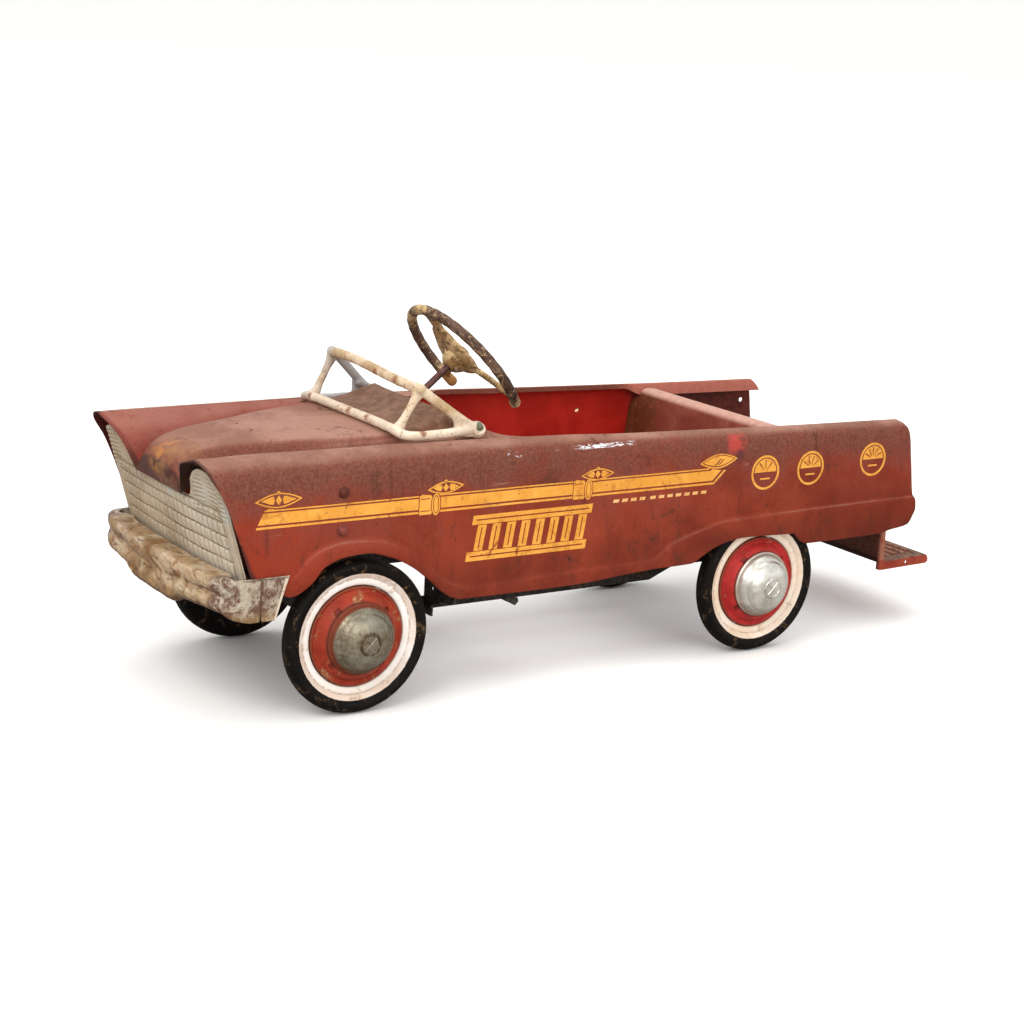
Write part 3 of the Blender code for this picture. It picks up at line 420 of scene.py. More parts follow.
class Paint:
    """A node material built up in coats over a base colour."""

    def __init__(self, name, shift=None):
        self.mat = bpy.data.materials.new(name)
        self.mat.use_nodes = True
        self.tree = self.mat.node_tree
        self.tree.nodes.clear()
        out = self.tree.nodes.new("ShaderNodeOutputMaterial")
        self.surface = self.tree.nodes.new("ShaderNodeBsdfPrincipled")
        self.tree.links.new(self.surface.outputs[0], out.inputs["Surface"])
        self.where = self.node("ShaderNodeTexCoord", {}, "Object")
        self.noise_space = self.mapped(shift=shift) if shift else self.where

    def put(self, socket, value):
        if isinstance(value, Field):
            self.tree.links.new(value.socket, socket)
        elif socket.type == "RGBA" and not np.isscalar(value):
            socket.default_value = (*value, 1.0)[:4]
        else:
            socket.default_value = value

    def node(self, kind, inputs, output=0, **settings):
        made = self.tree.nodes.new(kind)
        for key, value in settings.items():
            setattr(made, key, value)
        for key, value in inputs.items():
            self.put(made.inputs[key], value)
        return Field(self, made.outputs[output])

    def math(self, operation, a, b):
        return self.node("ShaderNodeMath", {0: a, 1: b}, operation=operation)

    def mix(self, mask, under, over, blend="MIX"):
        return self.node("ShaderNodeMix", {0: mask, 6: under, 7: over}, 2,
                         data_type="RGBA", blend_type=blend)

    def base(self, mask, low, high):
        self.colour = self.mix(mask, low, high)

    def coat(self, mask, colour):
        self.colour = self.mix(mask, self.colour, colour)

    def tint(self, mask, colour):
        """Multiplies the colour so far where the mask is high."""
        self.colour = self.mix(mask, self.colour, colour, "MULTIPLY")

    def mapped(self, stretch=(1, 1, 1), shift=(0.0, 0.0, 0.0)):
        return self.node("ShaderNodeMapping",
                         {"Scale": stretch, "Location": shift, "Vector": self.where})

    def noise(self, scale, detail=5, rough=0.7, warp=0.0, stretch=None, vector=None):
        if stretch:
            vector = self.mapped(stretch)
        return self.node("ShaderNodeTexNoise", {
            "Scale": scale, "Detail": detail, "Roughness": rough, "Distortion": warp,
            "Vector": vector or self.noise_space}, "Fac")

    def attribute(self, name):
        return self.node("ShaderNodeAttribute", {}, "Fac", attribute_name=name)

    def split(self, vector):
        first = self.node("ShaderNodeSeparateXYZ", {0: vector})
        return [Field(self, socket) for socket in first.socket.node.outputs]

    @cached_property
    def xyz(self):
        return self.split(self.where)

    @cached_property
    def geometry(self):
        return self.tree.nodes.new("ShaderNodeNewGeometry")

    def facing_up(self):
        return self.split(Field(self, self.geometry.outputs["Normal"]))[2]

    def edges(self, start, end):
        return Field(self, self.geometry.outputs["Pointiness"]).ramp(start, end)

    def near(self, centre, radius, soft):
        """1 inside a ball round a point in millimetres, 0 outside."""
        point = tuple((np.asarray(centre, float) - DATUM) * MM)
        away = self.node("ShaderNodeVectorMath", {0: self.where, 1: point}, "Value",
                         operation="DISTANCE")
        return away.ramp((radius + soft) * MM, (radius - soft) * MM)

    def band(self, y_mid, z_mid, half_long, half_tall):
        """1 within an oblong round (y_mid, z_mid) in millimetres, fading over its outer 0.4."""
        _, y, z = self.xyz
        off_y = (y - (y_mid - DATUM[1]) * MM).absolute()
        off_z = (z - z_mid * MM).absolute()
        solid = 1 - 0.4
        return (off_y.ramp(half_long * MM, half_long * solid * MM)
                * off_z.ramp(half_tall * MM, half_tall * solid * MM))

    def finish(self, rough, height=None, bump=0.35, depth=0.0006, metal=0.0, specular=0.16):
        inputs = {"Base Color": self.colour, "Roughness": rough, "Metallic": metal,
                  "Specular IOR Level": specular}
        if height is not None:
            inputs["Normal"] = self.node(
                "ShaderNodeBump", {"Strength": bump, "Distance": depth, "Height": height})
        for key, value in inputs.items():
            self.put(self.surface.inputs[key], value)
        return self.mat


# ------------------------------------------------------------------ materials
# Each coat takes a mask, times its strength, and a colour as linear red, green and blue.
def aged_red(paint):
    """Coats of old red enamel, chalky on top and streaked on the sides. Returns its masks."""
    _, y, z = paint.xyz
    broad = paint.noise(5.0, detail=4, rough=0.6, warp=0.6)
    cloud = paint.noise(16.0, detail=6, rough=0.66, warp=0.5)
    grain = paint.noise(230.0, detail=3, rough=0.6)
    speck = paint.noise(95.0, rough=0.72)
    streak = paint.noise(1.0, rough=0.66, warp=0.3, stretch=(75, 75, 8))
    along = paint.noise(1.0, detail=3, rough=0.55, warp=0.2, stretch=(90, 3.2, 55))
    paint.base((broad * 0.6 + cloud * 0.4).ramp(0.36, 0.62),
               (0.235, 0.031, 0.0125), (0.325, 0.048, 0.020))
    # warmer towards the nose
    paint.coat(y.ramp(-0.34, -0.50) * 0.6, (0.34, 0.038, 0.014))
    patchy = paint.noise(4.2, rough=0.68, warp=1.1)
    paint.tint(patchy.ramp(0.47, 0.66, high=0.62), (0.62, 0.52, 0.50))
    paint.coat(patchy.ramp(0.46, 0.32, high=0.45), (0.42, 0.066, 0.034))
    # plum cast in the middle of the side, browner high up
    plum = z.ramp(0.17, 0.25) * cloud.ramp(0.42, 0.60)
    paint.coat(plum * 0.65, (0.235, 0.050, 0.034))
    high = ((z + cloud.shake(0.05)).ramp(0.235, 0.295)
            * (cloud * 0.8 + streak * 0.2).ramp(0.16, 0.50))
    brown = paint.mix(paint.noise(330.0, detail=3, rough=0.6).ramp(0.36, 0.64),
                      (0.140, 0.047, 0.031), (0.215, 0.080, 0.054))
    paint.coat(high * 0.84, brown)
    # the back half and the foot of the side are duller
    paint.tint(y.ramp(0.12, 0.46, high=0.75) * z.ramp(0.235, 0.19), (0.70, 0.62, 0.50))
    paint.tint(z.ramp(0.20, 0.15) * cloud.ramp(0.30, 0.58), (0.66, 0.66, 0.68))
    # chalky bloom on upward faces
    up = (paint.facing_up() + cloud.shake(0.36)).ramp(0.48, 0.99)
    bloom = paint.mix(paint.noise(9.0, rough=0.62, warp=0.5).ramp(0.38, 0.62),
                      (0.255, 0.118, 0.080), (0.39, 0.205, 0.152))
    paint.coat(up * 0.88, bloom)
    # worn-through brown smudges
    smudge = (paint.noise(21.0, detail=6, rough=0.72, warp=0.9).ramp(0.55, 0.67)
              * speck.ramp(0.38, 0.56))
    paint.coat(smudge * 0.62, (0.075, 0.028, 0.018))
    # dark and pale vertical runs
    runs = streak.ramp(0.56, 0.70) * paint.noise(13.0, detail=3, rough=0.5).ramp(0.42, 0.60)
    paint.coat(runs * 0.55, (0.075, 0.020, 0.014))
    pale_runs = (streak.ramp(0.40, 0.30)
                 * paint.noise(11.0, detail=3, rough=0.5, warp=0.2).ramp(0.48, 0.62))
    paint.coat(pale_runs * 0.14, (0.40, 0.10, 0.060))
    # fine pitting
    pits = speck.ramp(0.645, 0.70)
    paint.coat(pits * 0.75, (0.05, 0.022, 0.015))
    # long pale scratches
    scratch = along.ramp(0.685, 0.72) * cloud.ramp(0.50, 0.58)
    paint.coat(scratch * 0.45, (0.47, 0.23, 0.16))
    paint.tint(0.6, paint.mix(grain, (0.55, 0.52, 0.50), (1.12, 1.12, 1.12)))
    # rubbed edges
    worn = paint.edges(0.53, 0.60) * speck.ramp(0.44, 0.60)
    paint.coat(worn * 0.13, (0.44, 0.22, 0.15))
    # dark band along the sloping front edge
    behind_edge = y - (z * -0.437 - 0.4427)
    edge = (behind_edge + speck.shake(0.006)).ramp(0.0060, 0.0015) * y.ramp(-0.45, -0.50)
    paint.coat(edge * 0.85, (0.045, 0.016, 0.012))
    return cloud, grain, up, smudge, pits, scratch


def finish_red(paint, masks):
    cloud, grain, up, smudge, pits, scratch = masks
    rough = cloud * 0.22 + (up * 0.10 + 0.42)
    rough = (rough + (smudge + pits) * 0.2).clamped()
    height = grain * 0.25 + (cloud * 0.6 - (pits * 0.7 + scratch * 0.25))
    return paint.finish(rough, height)


def red_paint():
    paint = Paint("aged_red_paint")
    masks = aged_red(paint)
    fleck = paint.noise(1.0, detail=4, warp=0.8, stretch=(420, 95, 420))
    x, y, z = paint.xyz
    # painted light on the top of the right side, at the back
    painted_light = (x.ramp(-0.12, -0.14) * y.ramp(0.20, 0.25)
           * (z.ramp(0.276, 0.286) * paint.noise(95.0, rough=0.72).ramp(0.25, 0.6, low=0.6)))
    paint.coat(painted_light * 0.80, (0.40, 0.120, 0.085))
    # scuffs down to white primer: y, z, half length, half height, noise threshold
    for *place, threshold in ((34, 305, 52, 3.4, 0.50), (18, 304.5, 24, 2.6, 0.42),
                              (-100, 302, 15, 6.5, 0.60), (-62, 306, 30, 3.0, 0.64)):
        scuff = paint.band(*place) * fleck.ramp(threshold, threshold + 0.06)
        paint.coat(scuff * 0.92, (0.80, 0.80, 0.84))
    # a fresher red patch on the left, with a bruise below it
    fresh = (paint.near((175, 245, 292), radius=15, soft=7)
             * paint.noise(60.0, detail=4, rough=0.6).ramp(0.36, 0.52))
    paint.coat(fresh * 0.8, (0.50, 0.060, 0.050))
    bruise = (paint.near((178, 251, 277), radius=8, soft=4)
              * paint.noise(120.0, detail=4, rough=0.6).ramp(0.36, 0.55))
    paint.coat(bruise * 0.85, (0.09, 0.03, 0.03))
    # dark chips low on the left side
    for centre, radius in (((179, 88, 168), 7), ((179, 117, 175), 5), ((179, 330, 170), 6)):
        chip = (paint.near(centre, radius, soft=6)
                * paint.noise(140.0, detail=4, rough=0.65).ramp(0.42, 0.58))
        paint.coat(chip * 0.7, (0.05, 0.022, 0.018))
    return finish_red(paint, masks)


def hood_paint():
    paint = Paint("aged_hood_paint")
    masks = aged_red(paint)
    x, y, z = paint.xyz
    # the right fender has kept more of its red
    kept = ((x + paint.noise(20.0, rough=0.6).shake(0.03)).ramp(-0.066, -0.088)
            * y.ramp(-0.25, -0.34))
    paint.coat(kept * 0.62, (0.235, 0.048, 0.033))
    # dark grime and painted shade round the foot of the windshield
    grime = (y.ramp(-0.33, -0.295) * z.ramp(0.318, 0.330)
             * paint.noise(24.0, rough=0.6, warp=0.5).ramp(0.22, 0.55, low=0.45))
    dirt = paint.mix(paint.noise(85.0).ramp(0.38, 0.62),
                     (0.115, 0.054, 0.028), (0.205, 0.112, 0.068))
    paint.coat(grime * 0.85, dirt)
    # painted shade on the inside of the fender at the front left, between the nose and the fender
    shaken = paint.noise(60.0, detail=4, rough=0.65).shake(0.016)
    patch = x.ramp(0.057, 0.063) * x.ramp(0.106, 0.099) * (y + shaken).ramp(-0.546, -0.556)
    paint.coat(patch * 0.88, (0.022, 0.009, 0.007))
    # old yellow paint and tan wear on the nose
    nose = paint.near((4, -484, 296), radius=20, soft=18) * paint.noise(
        70.0, warp=0.6).ramp(0.44, 0.58)
    paint.coat(nose * 0.8, (0.50, 0.20, 0.045))
    tan = paint.near((30, -478, 290), radius=34, soft=24) * paint.noise(
        38.0, rough=0.65).ramp(0.38, 0.62)
    paint.coat(tan * 0.6, (0.28, 0.135, 0.060))
    return finish_red(paint, masks)


def inner_paint():
    """Inside of the side panels: still a strong red, with dirt along the bottom, and painted shade
    behind the seat and at the front end.
    """
    paint = Paint("shaded_red_paint")
    _, y, z = paint.xyz
    cloud = paint.noise(18.0, rough=0.6, warp=0.5)
    speck = paint.noise(110.0, detail=4)
    paint.base(cloud.ramp(0.35, 0.68), (0.37, 0.013, 0.008), (0.50, 0.020, 0.011))
    dirt = (z + cloud.shake(0.06)).ramp(0.235, 0.17) * speck.ramp(0.3, 0.6)
    paint.coat(dirt * 0.8, (0.12, 0.045, 0.028))
    # painted shade behind the seat and at the front end
    shade_behind_seat = (y + cloud.shake(0.05)).ramp(0.245, 0.285)
    paint.coat(shade_behind_seat * 0.9, paint.mix(speck.ramp(0.4, 0.6),
                                     (0.035, 0.012, 0.009), (0.10, 0.022, 0.014)))
    paint.coat(y.ramp(-0.46, -0.50) * 0.9, (0.035, 0.012, 0.010))
    pits = speck.ramp(0.67, 0.72)
    paint.coat(pits * 0.8, (0.05, 0.02, 0.014))
    return paint.finish(cloud * 0.3 + 0.38, cloud - pits * 0.5, bump=0.25)


def seat_paint():
    """Red under a brown crust of dirt, with a pale top edge: worn, and with a painted highlight
    along it.
    """
    paint = Paint("seat_paint")
    x, _, z = paint.xyz
    cloud = paint.noise(15.0, detail=6, rough=0.65, warp=0.8)
    speck = paint.noise(90.0)
    paint.base(cloud.ramp(0.36, 0.66), (0.19, 0.036, 0.022), (0.26, 0.066, 0.042))
    crust = (x * -1.0 + cloud.shake(0.14)).ramp(0.075, 0.13) * speck.ramp(0.28, 0.52)
    paint.coat(crust * 0.92, paint.mix(speck.ramp(0.4, 0.62),
                                       (0.060, 0.015, 0.004), (0.150, 0.050, 0.014)))
    # pale top edge: worn paint with a painted highlight along it
    top = z.ramp(0.2925, 0.2985) * (cloud + speck * 0.3).ramp(0.36, 0.58)
    paint.coat(top * 0.88, paint.mix(speck, (0.36, 0.16, 0.115), (0.70, 0.44, 0.35)))
    scored = (paint.noise(1.0, detail=3, rough=0.6, warp=0.2, stretch=(180, 30, 14))
              .ramp(0.62, 0.68) * cloud.ramp(0.44, 0.6))
    paint.coat(scored * 0.4, (0.40, 0.17, 0.10))
    low = z.ramp(0.225, 0.195) * speck.ramp(0.3, 0.6)
    paint.coat(low * 0.7, (0.10, 0.045, 0.028))
    paint.coat(speck.ramp(0.66, 0.72) * 0.7, (0.05, 0.022, 0.014))
    return paint.finish(cloud * 0.25 + 0.45, cloud + speck * 0.5, bump=0.4)


def step_paint():
    """Dusty red with worn ribs, and painted shade on the front of the riser."""
    paint = Paint("step_paint")
    _, y, z = paint.xyz
    cloud = paint.noise(22.0, detail=6, rough=0.65, warp=0.6)
    speck = paint.noise(120.0)
    paint.base(cloud.ramp(0.36, 0.66), (0.27, 0.034, 0.018), (0.36, 0.065, 0.033))
    up = paint.facing_up().ramp(0.4, 0.85)
    dust = paint.mix(speck.ramp(0.38, 0.62), (0.085, 0.040, 0.024), (0.20, 0.115, 0.075))
    paint.coat(up * cloud.ramp(0.25, 0.55, low=0.65, high=0.97), dust)
    ridge = z.ramp(0.0918, 0.0930) * speck.ramp(0.36, 0.56)
    paint.coat(ridge * 0.8, (0.36, 0.17, 0.11))
    rust = paint.noise(46.0, detail=6, warp=0.8).ramp(0.60, 0.68)
    paint.coat(rust * 0.75, (0.085, 0.028, 0.014))
    # painted shade on the upright front face of the riser, under the body
    upright = paint.facing_up().ramp(0.25, -0.1)
    paint.coat(y.ramp(0.484, 0.474) * 0.97 * upright, (0.013, 0.0025, 0.002))
    return paint.finish(cloud * 0.25 + 0.48, cloud + speck, bump=0.4)


def grille_paint():
    paint = Paint("worn_silver_paint")
    x, _, z = paint.xyz
    cloud = paint.noise(13.0, detail=6, rough=0.65, warp=0.5)
    speck = paint.noise(150.0)
    streak = paint.noise(1.0, rough=0.65, warp=0.4, stretch=(60, 60, 14))
    groove = paint.attribute("groove")
    paint.base(cloud.ramp(0.34, 0.66), (0.41, 0.335, 0.235), (0.57, 0.495, 0.385))
    paint.coat(streak.ramp(0.52, 0.70) * 0.45, (0.36, 0.255, 0.15))
    # painted highlight on the ridges, then a duller right side and a blue cast higher up
    paint.coat(paint.attribute("ridge") * speck.ramp(0.30, 0.60, low=0.25, high=0.8),
               (0.74, 0.71, 0.635))
    paint.tint(x.ramp(0.11, -0.03), (0.82, 0.75, 0.68))
    blue = paint.noise(20.0, detail=4, rough=0.6).ramp(0.52, 0.66) * z.ramp(0.235, 0.255)
    paint.coat(blue * 0.5, (0.50, 0.53, 0.52))
    dirt = (groove + speck.shake(0.6)).ramp(0.30, 0.95) * 1.0
    paint.coat(dirt * 0.88, paint.mix(cloud, (0.095, 0.062, 0.032), (0.19, 0.14, 0.085)))
    rust = (paint.noise(34.0, detail=6, rough=0.72, warp=0.7).ramp(0.60, 0.68)
            * speck.ramp(0.35, 0.6))
    paint.coat(rust * 0.55, (0.30, 0.155, 0.07))
    paint.coat(speck.ramp(0.66, 0.71) * 0.7, (0.12, 0.08, 0.045))
    return paint.finish(cloud * 0.2 + 0.42, speck - dirt * 0.4, bump=0.4, depth=0.0008,
                        metal=0.05, specular=0.25)


def bumper_paint():
    """Silver paint mostly lost to brown rust."""
    paint = Paint("rusted_bumper")
    x, y, z = paint.xyz
    cloud = paint.noise(12.0, detail=6, rough=0.66, warp=0.8)
    mottle = paint.noise(42.0, detail=6, warp=0.6)
    speck = paint.noise(190.0, detail=4)
    paint.base(cloud.ramp(0.34, 0.64), (0.215, 0.112, 0.042), (0.40, 0.265, 0.135))
    silver = mottle.ramp(0.50, 0.60) * (paint.facing_up() + cloud).ramp(0.35, 0.85)
    paint.coat(silver * 0.8, (0.52, 0.43, 0.315))
    # paler on the right, then on the left
    right = x.ramp(-0.04, -0.13) * paint.noise(30.0, rough=0.65, warp=0.5).ramp(0.38, 0.60)
    paint.coat(right * 0.7, (0.62, 0.48, 0.355))
    left = x.ramp(-0.02, 0.06) * paint.noise(34.0, rough=0.65, warp=0.5).ramp(0.40, 0.60)
    paint.coat(left * 0.55, (0.60, 0.47, 0.33))
    rust = paint.noise(26.0, detail=6, rough=0.72, warp=1.0).ramp(0.535, 0.615)
    paint.coat(rust * 0.8, paint.mix(speck.ramp(0.4, 0.6),
                                     (0.21, 0.085, 0.032), (0.33, 0.17, 0.07)))
    low = (z + cloud.shake(0.03)).ramp(0.160, 0.140) * 0.7
    paint.coat(low, paint.mix(mottle.ramp(0.42, 0.58),
                              (0.125, 0.055, 0.022), (0.33, 0.19, 0.065)))
    crease = (paint.noise(1.0, warp=1.2, stretch=(26, 26, 70)).ramp(0.56, 0.62)
              * speck.ramp(0.36, 0.56))
    paint.coat(crease * 0.8, (0.105, 0.046, 0.018))
    # each end: dark plum specks over grey
    ends = x.absolute().ramp(0.146, 0.158)
    grey = paint.mix((mottle + y.ramp(-0.557, -0.530, low=-0.045, high=0.015)).ramp(0.43, 0.58),
                     (0.125, 0.058, 0.042), (0.455, 0.395, 0.305))
    grey = paint.mix(paint.noise(150.0, rough=0.75).ramp(0.50, 0.60) * 0.5,
                     grey, (0.58, 0.53, 0.43))
    grey = paint.mix(paint.noise(95.0, rough=0.75, warp=0.5).ramp(0.535, 0.61) * 0.75,
                     grey, (0.12, 0.042, 0.034))
    grey = paint.mix(z.ramp(0.150, 0.135) * 0.6, grey, (0.33, 0.21, 0.085))
    paint.coat(ends * 0.92, grey)
    paint.coat(paint.attribute("rim") * speck.ramp(0.28, 0.5), (0.68, 0.58, 0.46))
    paint.coat(paint.attribute("groove") * 0.85, (0.11, 0.06, 0.03))
    pits = speck.ramp(0.64, 0.70)
    paint.coat(pits * 0.75, (0.10, 0.042, 0.02))
    # painted shade on the undersides
    under = paint.facing_up().ramp(-0.05, -0.55) * mottle.ramp(0.30, 0.60, low=0.55)
    paint.coat(under * 0.72, (0.085, 0.036, 0.016))
    rough = (rust * 0.25 + (mottle * 0.2 + 0.38)).clamped()
    height = mottle * 0.8 + (rust * 0.5 - pits * 0.5)
    return paint.finish(rough, height, bump=0.8, depth=0.0014, metal=0.05, specular=0.2)


def cream_paint():
    paint = Paint("chipped_cream_paint")
    x, y, z = paint.xyz
    cloud = paint.noise(24.0, rough=0.6, warp=0.5)
    speck = paint.noise(260.0, detail=4)
    paint.base(cloud.ramp(0.38, 0.62), (0.42, 0.285, 0.150), (0.66, 0.53, 0.38))
    # whiter low down, greyer at the right end
    white = (z + cloud.shake(0.04)).ramp(0.352, 0.335)
    paint.coat(white * 0.6, (0.76, 0.66, 0.55))
    right_end = x.ramp(-0.09, -0.112)
    paint.coat(right_end * y.ramp(-0.30, -0.27, low=0.25, high=0.85), (0.36, 0.37, 0.39))
    stain = paint.noise(70.0, detail=6, rough=0.74, warp=0.8).ramp(0.545, 0.63)
    paint.coat(stain * z.ramp(0.325, 0.365, low=0.35, high=0.75), (0.33, 0.155, 0.055))
    pits = speck.ramp(0.61, 0.66)
    paint.coat(pits * 0.85, (0.20, 0.085, 0.03))
    chips = paint.noise(105.0, warp=0.5).ramp(0.655, 0.68)
    paint.coat(chips * 0.9, (0.13, 0.055, 0.03))
    # rust spots
    for centre in ((58, -243, 336), (12, -243, 336), (24, -214, 384), (-95, -242, 334),
                   (143, -212, 330), (-40, -214, 384), (70, -212, 383)):
        spot = paint.near(centre, radius=4.6, soft=2.0) * speck.ramp(0.32, 0.5)
        paint.coat(spot * 0.9, (0.22, 0.07, 0.03))
    return paint.finish(cloud * 0.2 + (stain * 0.2 + 0.34),
                        cloud * 0.5 - (chips * 1.0 + pits * 0.5), bump=0.45)


def wheel_plastic():
    """Steering wheel: dark brown, worn to tan on the boss, the spokes and parts of the rim."""
    paint = Paint("worn_wheel_plastic")
    tan = paint.attribute("tan")
    cloud = paint.noise(34.0, detail=6, rough=0.68, warp=0.6)
    speck = paint.noise(230.0, rough=0.72)
    paint.base(cloud.ramp(0.38, 0.62), (0.040, 0.019, 0.012), (0.115, 0.065, 0.046))
    paint.coat(speck.ramp(0.56, 0.63) * 0.85, (0.40, 0.27, 0.175))
    chips = (paint.noise(62.0, detail=6, rough=0.78, warp=1.0).ramp(0.535, 0.60)
             * speck.ramp(0.40, 0.56))
    paint.coat(chips * 0.85, (0.43, 0.285, 0.155))
    pale = paint.mix(cloud.ramp(0.38, 0.60), (0.30, 0.165, 0.060), (0.64, 0.46, 0.245))
    pale = paint.mix(paint.noise(90.0, detail=6, rough=0.78, warp=0.8).ramp(0.50, 0.58) * 0.85,
                     pale, (0.085, 0.045, 0.020))
    worn = (tan + cloud.shake(2.4)).ramp(0.42, 0.60)
    paint.coat(worn, pale)
    paint.coat(paint.attribute("orange") * 0.85, (0.36, 0.165, 0.05))
    height = cloud * 0.6 + (worn * 0.5 - speck.ramp(0.62, 0.68) * 0.4)
    return paint.finish(cloud * 0.3 + 0.36, height, bump=0.5, depth=0.0007)


def steel(name, low, high, rust, shift=0.0, metal=0.55):
    paint = Paint(name)
    cloud = paint.noise(26.0, detail=6, rough=0.65, warp=0.6,
                        vector=paint.mapped(shift=(shift, shift, 0)))
    speck = paint.noise(170.0)
    paint.base(cloud.ramp(0.36, 0.66), low, high)
    patch = (paint.noise(52.0, detail=6, rough=0.72, warp=0.8).ramp(0.52, 0.63)
             * speck.ramp(0.3, 0.6))
    paint.coat(patch * 0.8, rust)
    worn = paint.edges(0.53, 0.60) * speck.ramp(0.42, 0.6)
    paint.coat(worn * 0.45, tuple(min(1.0, 2.6 * c + 0.05) for c in high))
    rough = (cloud * 0.3 + (patch * 0.25 + 0.34)).clamped()
    return paint.finish(rough, speck + cloud, bump=0.4, metal=(1.0 - patch) * metal)


def tyre_rubber(name, shift, tint, dirt, pale=(0.93, 0.90, 0.87)):
    """Black tyre with a painted wall, bright inside and creamier outside.

    The attributes are rad, the radius, and out, the distance beyond the wheel face, in 100 mm.
    """
    paint = Paint(name, (shift, shift * 0.7, shift * 0.3))
    radius, out = paint.attribute("rad"), paint.attribute("out")
    cloud = paint.noise(20.0, detail=6, rough=0.65, warp=0.6)
    speck = paint.noise(170.0, rough=0.72, warp=0.3)
    fine = paint.noise(420.0, detail=3, rough=0.6)
    black = paint.mix(cloud.ramp(0.36, 0.66),
                      (0.0018, 0.0013, 0.0011), (0.0048, 0.0030, 0.0020))
    scuff = (paint.noise(48.0, detail=6, rough=0.75, warp=1.0).ramp(0.545, 0.64)
             * speck.ramp(0.38, 0.6))
    black = paint.mix(scuff * 0.72, black, (0.17, 0.098, 0.047))
    shaken = radius + speck.shake(0.014)
    wall = shaken.ramp(0.789, 0.782) * out.ramp(-0.13, -0.11)
    # the painted wall
    paint.base(cloud.ramp(0.32, 0.66), tint, pale)
    outer = (shaken.ramp(0.712, 0.728)
             * paint.noise(15.0, detail=4, rough=0.6, warp=0.4).ramp(0.34, 0.58))
    paint.coat(outer * dirt, (0.70, 0.545, 0.43))
    bead = shaken.ramp(0.704, 0.7165) * shaken.ramp(0.7375, 0.725)
    paint.coat(bead * speck.ramp(0.34, 0.6, high=0.3 + 0.6 * dirt), (0.42, 0.29, 0.21))
    stain = (paint.noise(33.0, detail=6, rough=0.72, warp=0.8).ramp(0.56, 0.66)
             * speck.ramp(0.35, 0.58))
    paint.coat(stain * (0.6 + 0.3 * dirt), (0.42, 0.26, 0.16))
    paint.coat(speck.ramp(0.665, 0.71) * 0.6, (0.16, 0.10, 0.07))
    paint.coat(radius.ramp(0.640, 0.626) * 0.85, (0.15, 0.06, 0.035))
    paint.colour = paint.mix(wall, black, paint.colour)
    return paint.finish(cloud * 0.2 + 0.5, fine * 0.5 + (speck + scuff * 0.5), specular=0.14)


def disc_paint(name, shift, wear, low=(0.25, 0.026, 0.012), high=(0.36, 0.045, 0.021)):
    """Wheel disc enamel; wear from 0 to 1 spreads the rust."""
    paint = Paint(name, (shift, shift * 0.6, shift * 0.2))
    radius, slot = paint.attribute("rad"), paint.attribute("slot")
    cloud = paint.noise(30.0, detail=6, rough=0.65, warp=0.6)
    speck = paint.noise(200.0, rough=0.72)
    paint.base(cloud.ramp(0.34, 0.66), low, high)
    rust = (paint.noise(40.0, detail=6, rough=0.72, warp=0.9)
            .ramp(0.63 - 0.11 * wear, 0.70 - 0.10 * wear) * speck.ramp(0.3, 0.56))
    paint.coat(rust * 0.85, paint.mix(speck.ramp(0.42, 0.6),
                                      (0.17, 0.062, 0.026), (0.46, 0.24, 0.12)))
    # dirty outer lip, foot of the cap and pressed slots
    lip = (radius + speck.shake(0.02)).ramp(0.594, 0.612) * 1.0
    paint.coat(lip * 0.75, (0.16, 0.055, 0.028))
    paint.coat(radius.ramp(0.475, 0.445) * 0.75, (0.10, 0.026, 0.014))
    paint.coat(slot * 0.45, (0.030, 0.012, 0.008))
    paint.coat(speck.ramp(0.67, 0.72) * 0.8, (0.07, 0.025, 0.014))
    return paint.finish(cloud * 0.2 + (rust * 0.3 + 0.34), cloud - rust * 0.5,
                        bump=0.45, depth=0.0007)


def cap_chrome(name, shift, clean, dull, dirt):
    """Plated hubcap with pits, and dirt in the foot and round the centre ring."""
    paint = Paint(name, (shift, shift * 0.6, shift * 0.2))
    radius, low = paint.attribute("rad"), paint.attribute("low")
    cloud = paint.noise(34.0, detail=6, rough=0.65, warp=0.6)
    speck = paint.noise(260.0, rough=0.74)
    paint.base(cloud.ramp(0.34, 0.66), dull, clean)
    film = paint.noise(30.0, detail=6, rough=0.72, warp=0.7).ramp(0.46, 0.60) * dirt
    paint.coat(film * 0.75, paint.mix(speck.ramp(0.40, 0.60),
                                      (0.115, 0.070, 0.030), (0.25, 0.215, 0.150)))
    crust = (low + cloud.shake(1.0)).ramp(0.45, 0.75) * (0.4 + 0.6 * dirt)
    paint.coat(crust * 0.8, (0.085, 0.048, 0.018))
    flange = (radius + speck.shake(0.03)).ramp(0.395, 0.412) * dirt
    paint.coat(flange * 0.92, paint.mix(cloud, (0.13, 0.030, 0.014), (0.27, 0.045, 0.020)))
    crust = crust.most(flange)
    ring = radius.ramp(0.152, 0.142) * radius.ramp(0.098, 0.112) * speck.ramp(0.38, 0.58)
    paint.coat(ring * dirt, (0.06, 0.035, 0.018))
    pits = speck.ramp(0.64 + 0.04 * (1 - dirt), 0.70)
    paint.coat(pits * 0.8, (0.12, 0.055, 0.022))
    grime = (film * 0.25 + (crust * 0.5 + pits * 0.3)).clamped()
    rough = cloud * 0.14 + (grime * 0.4 + (0.20 + 0.10 * dirt))
    return paint.finish(rough, cloud - pits * 0.6, bump=0.3, depth=0.0005,
                        metal=(0.92 - grime * 0.8).clamped())


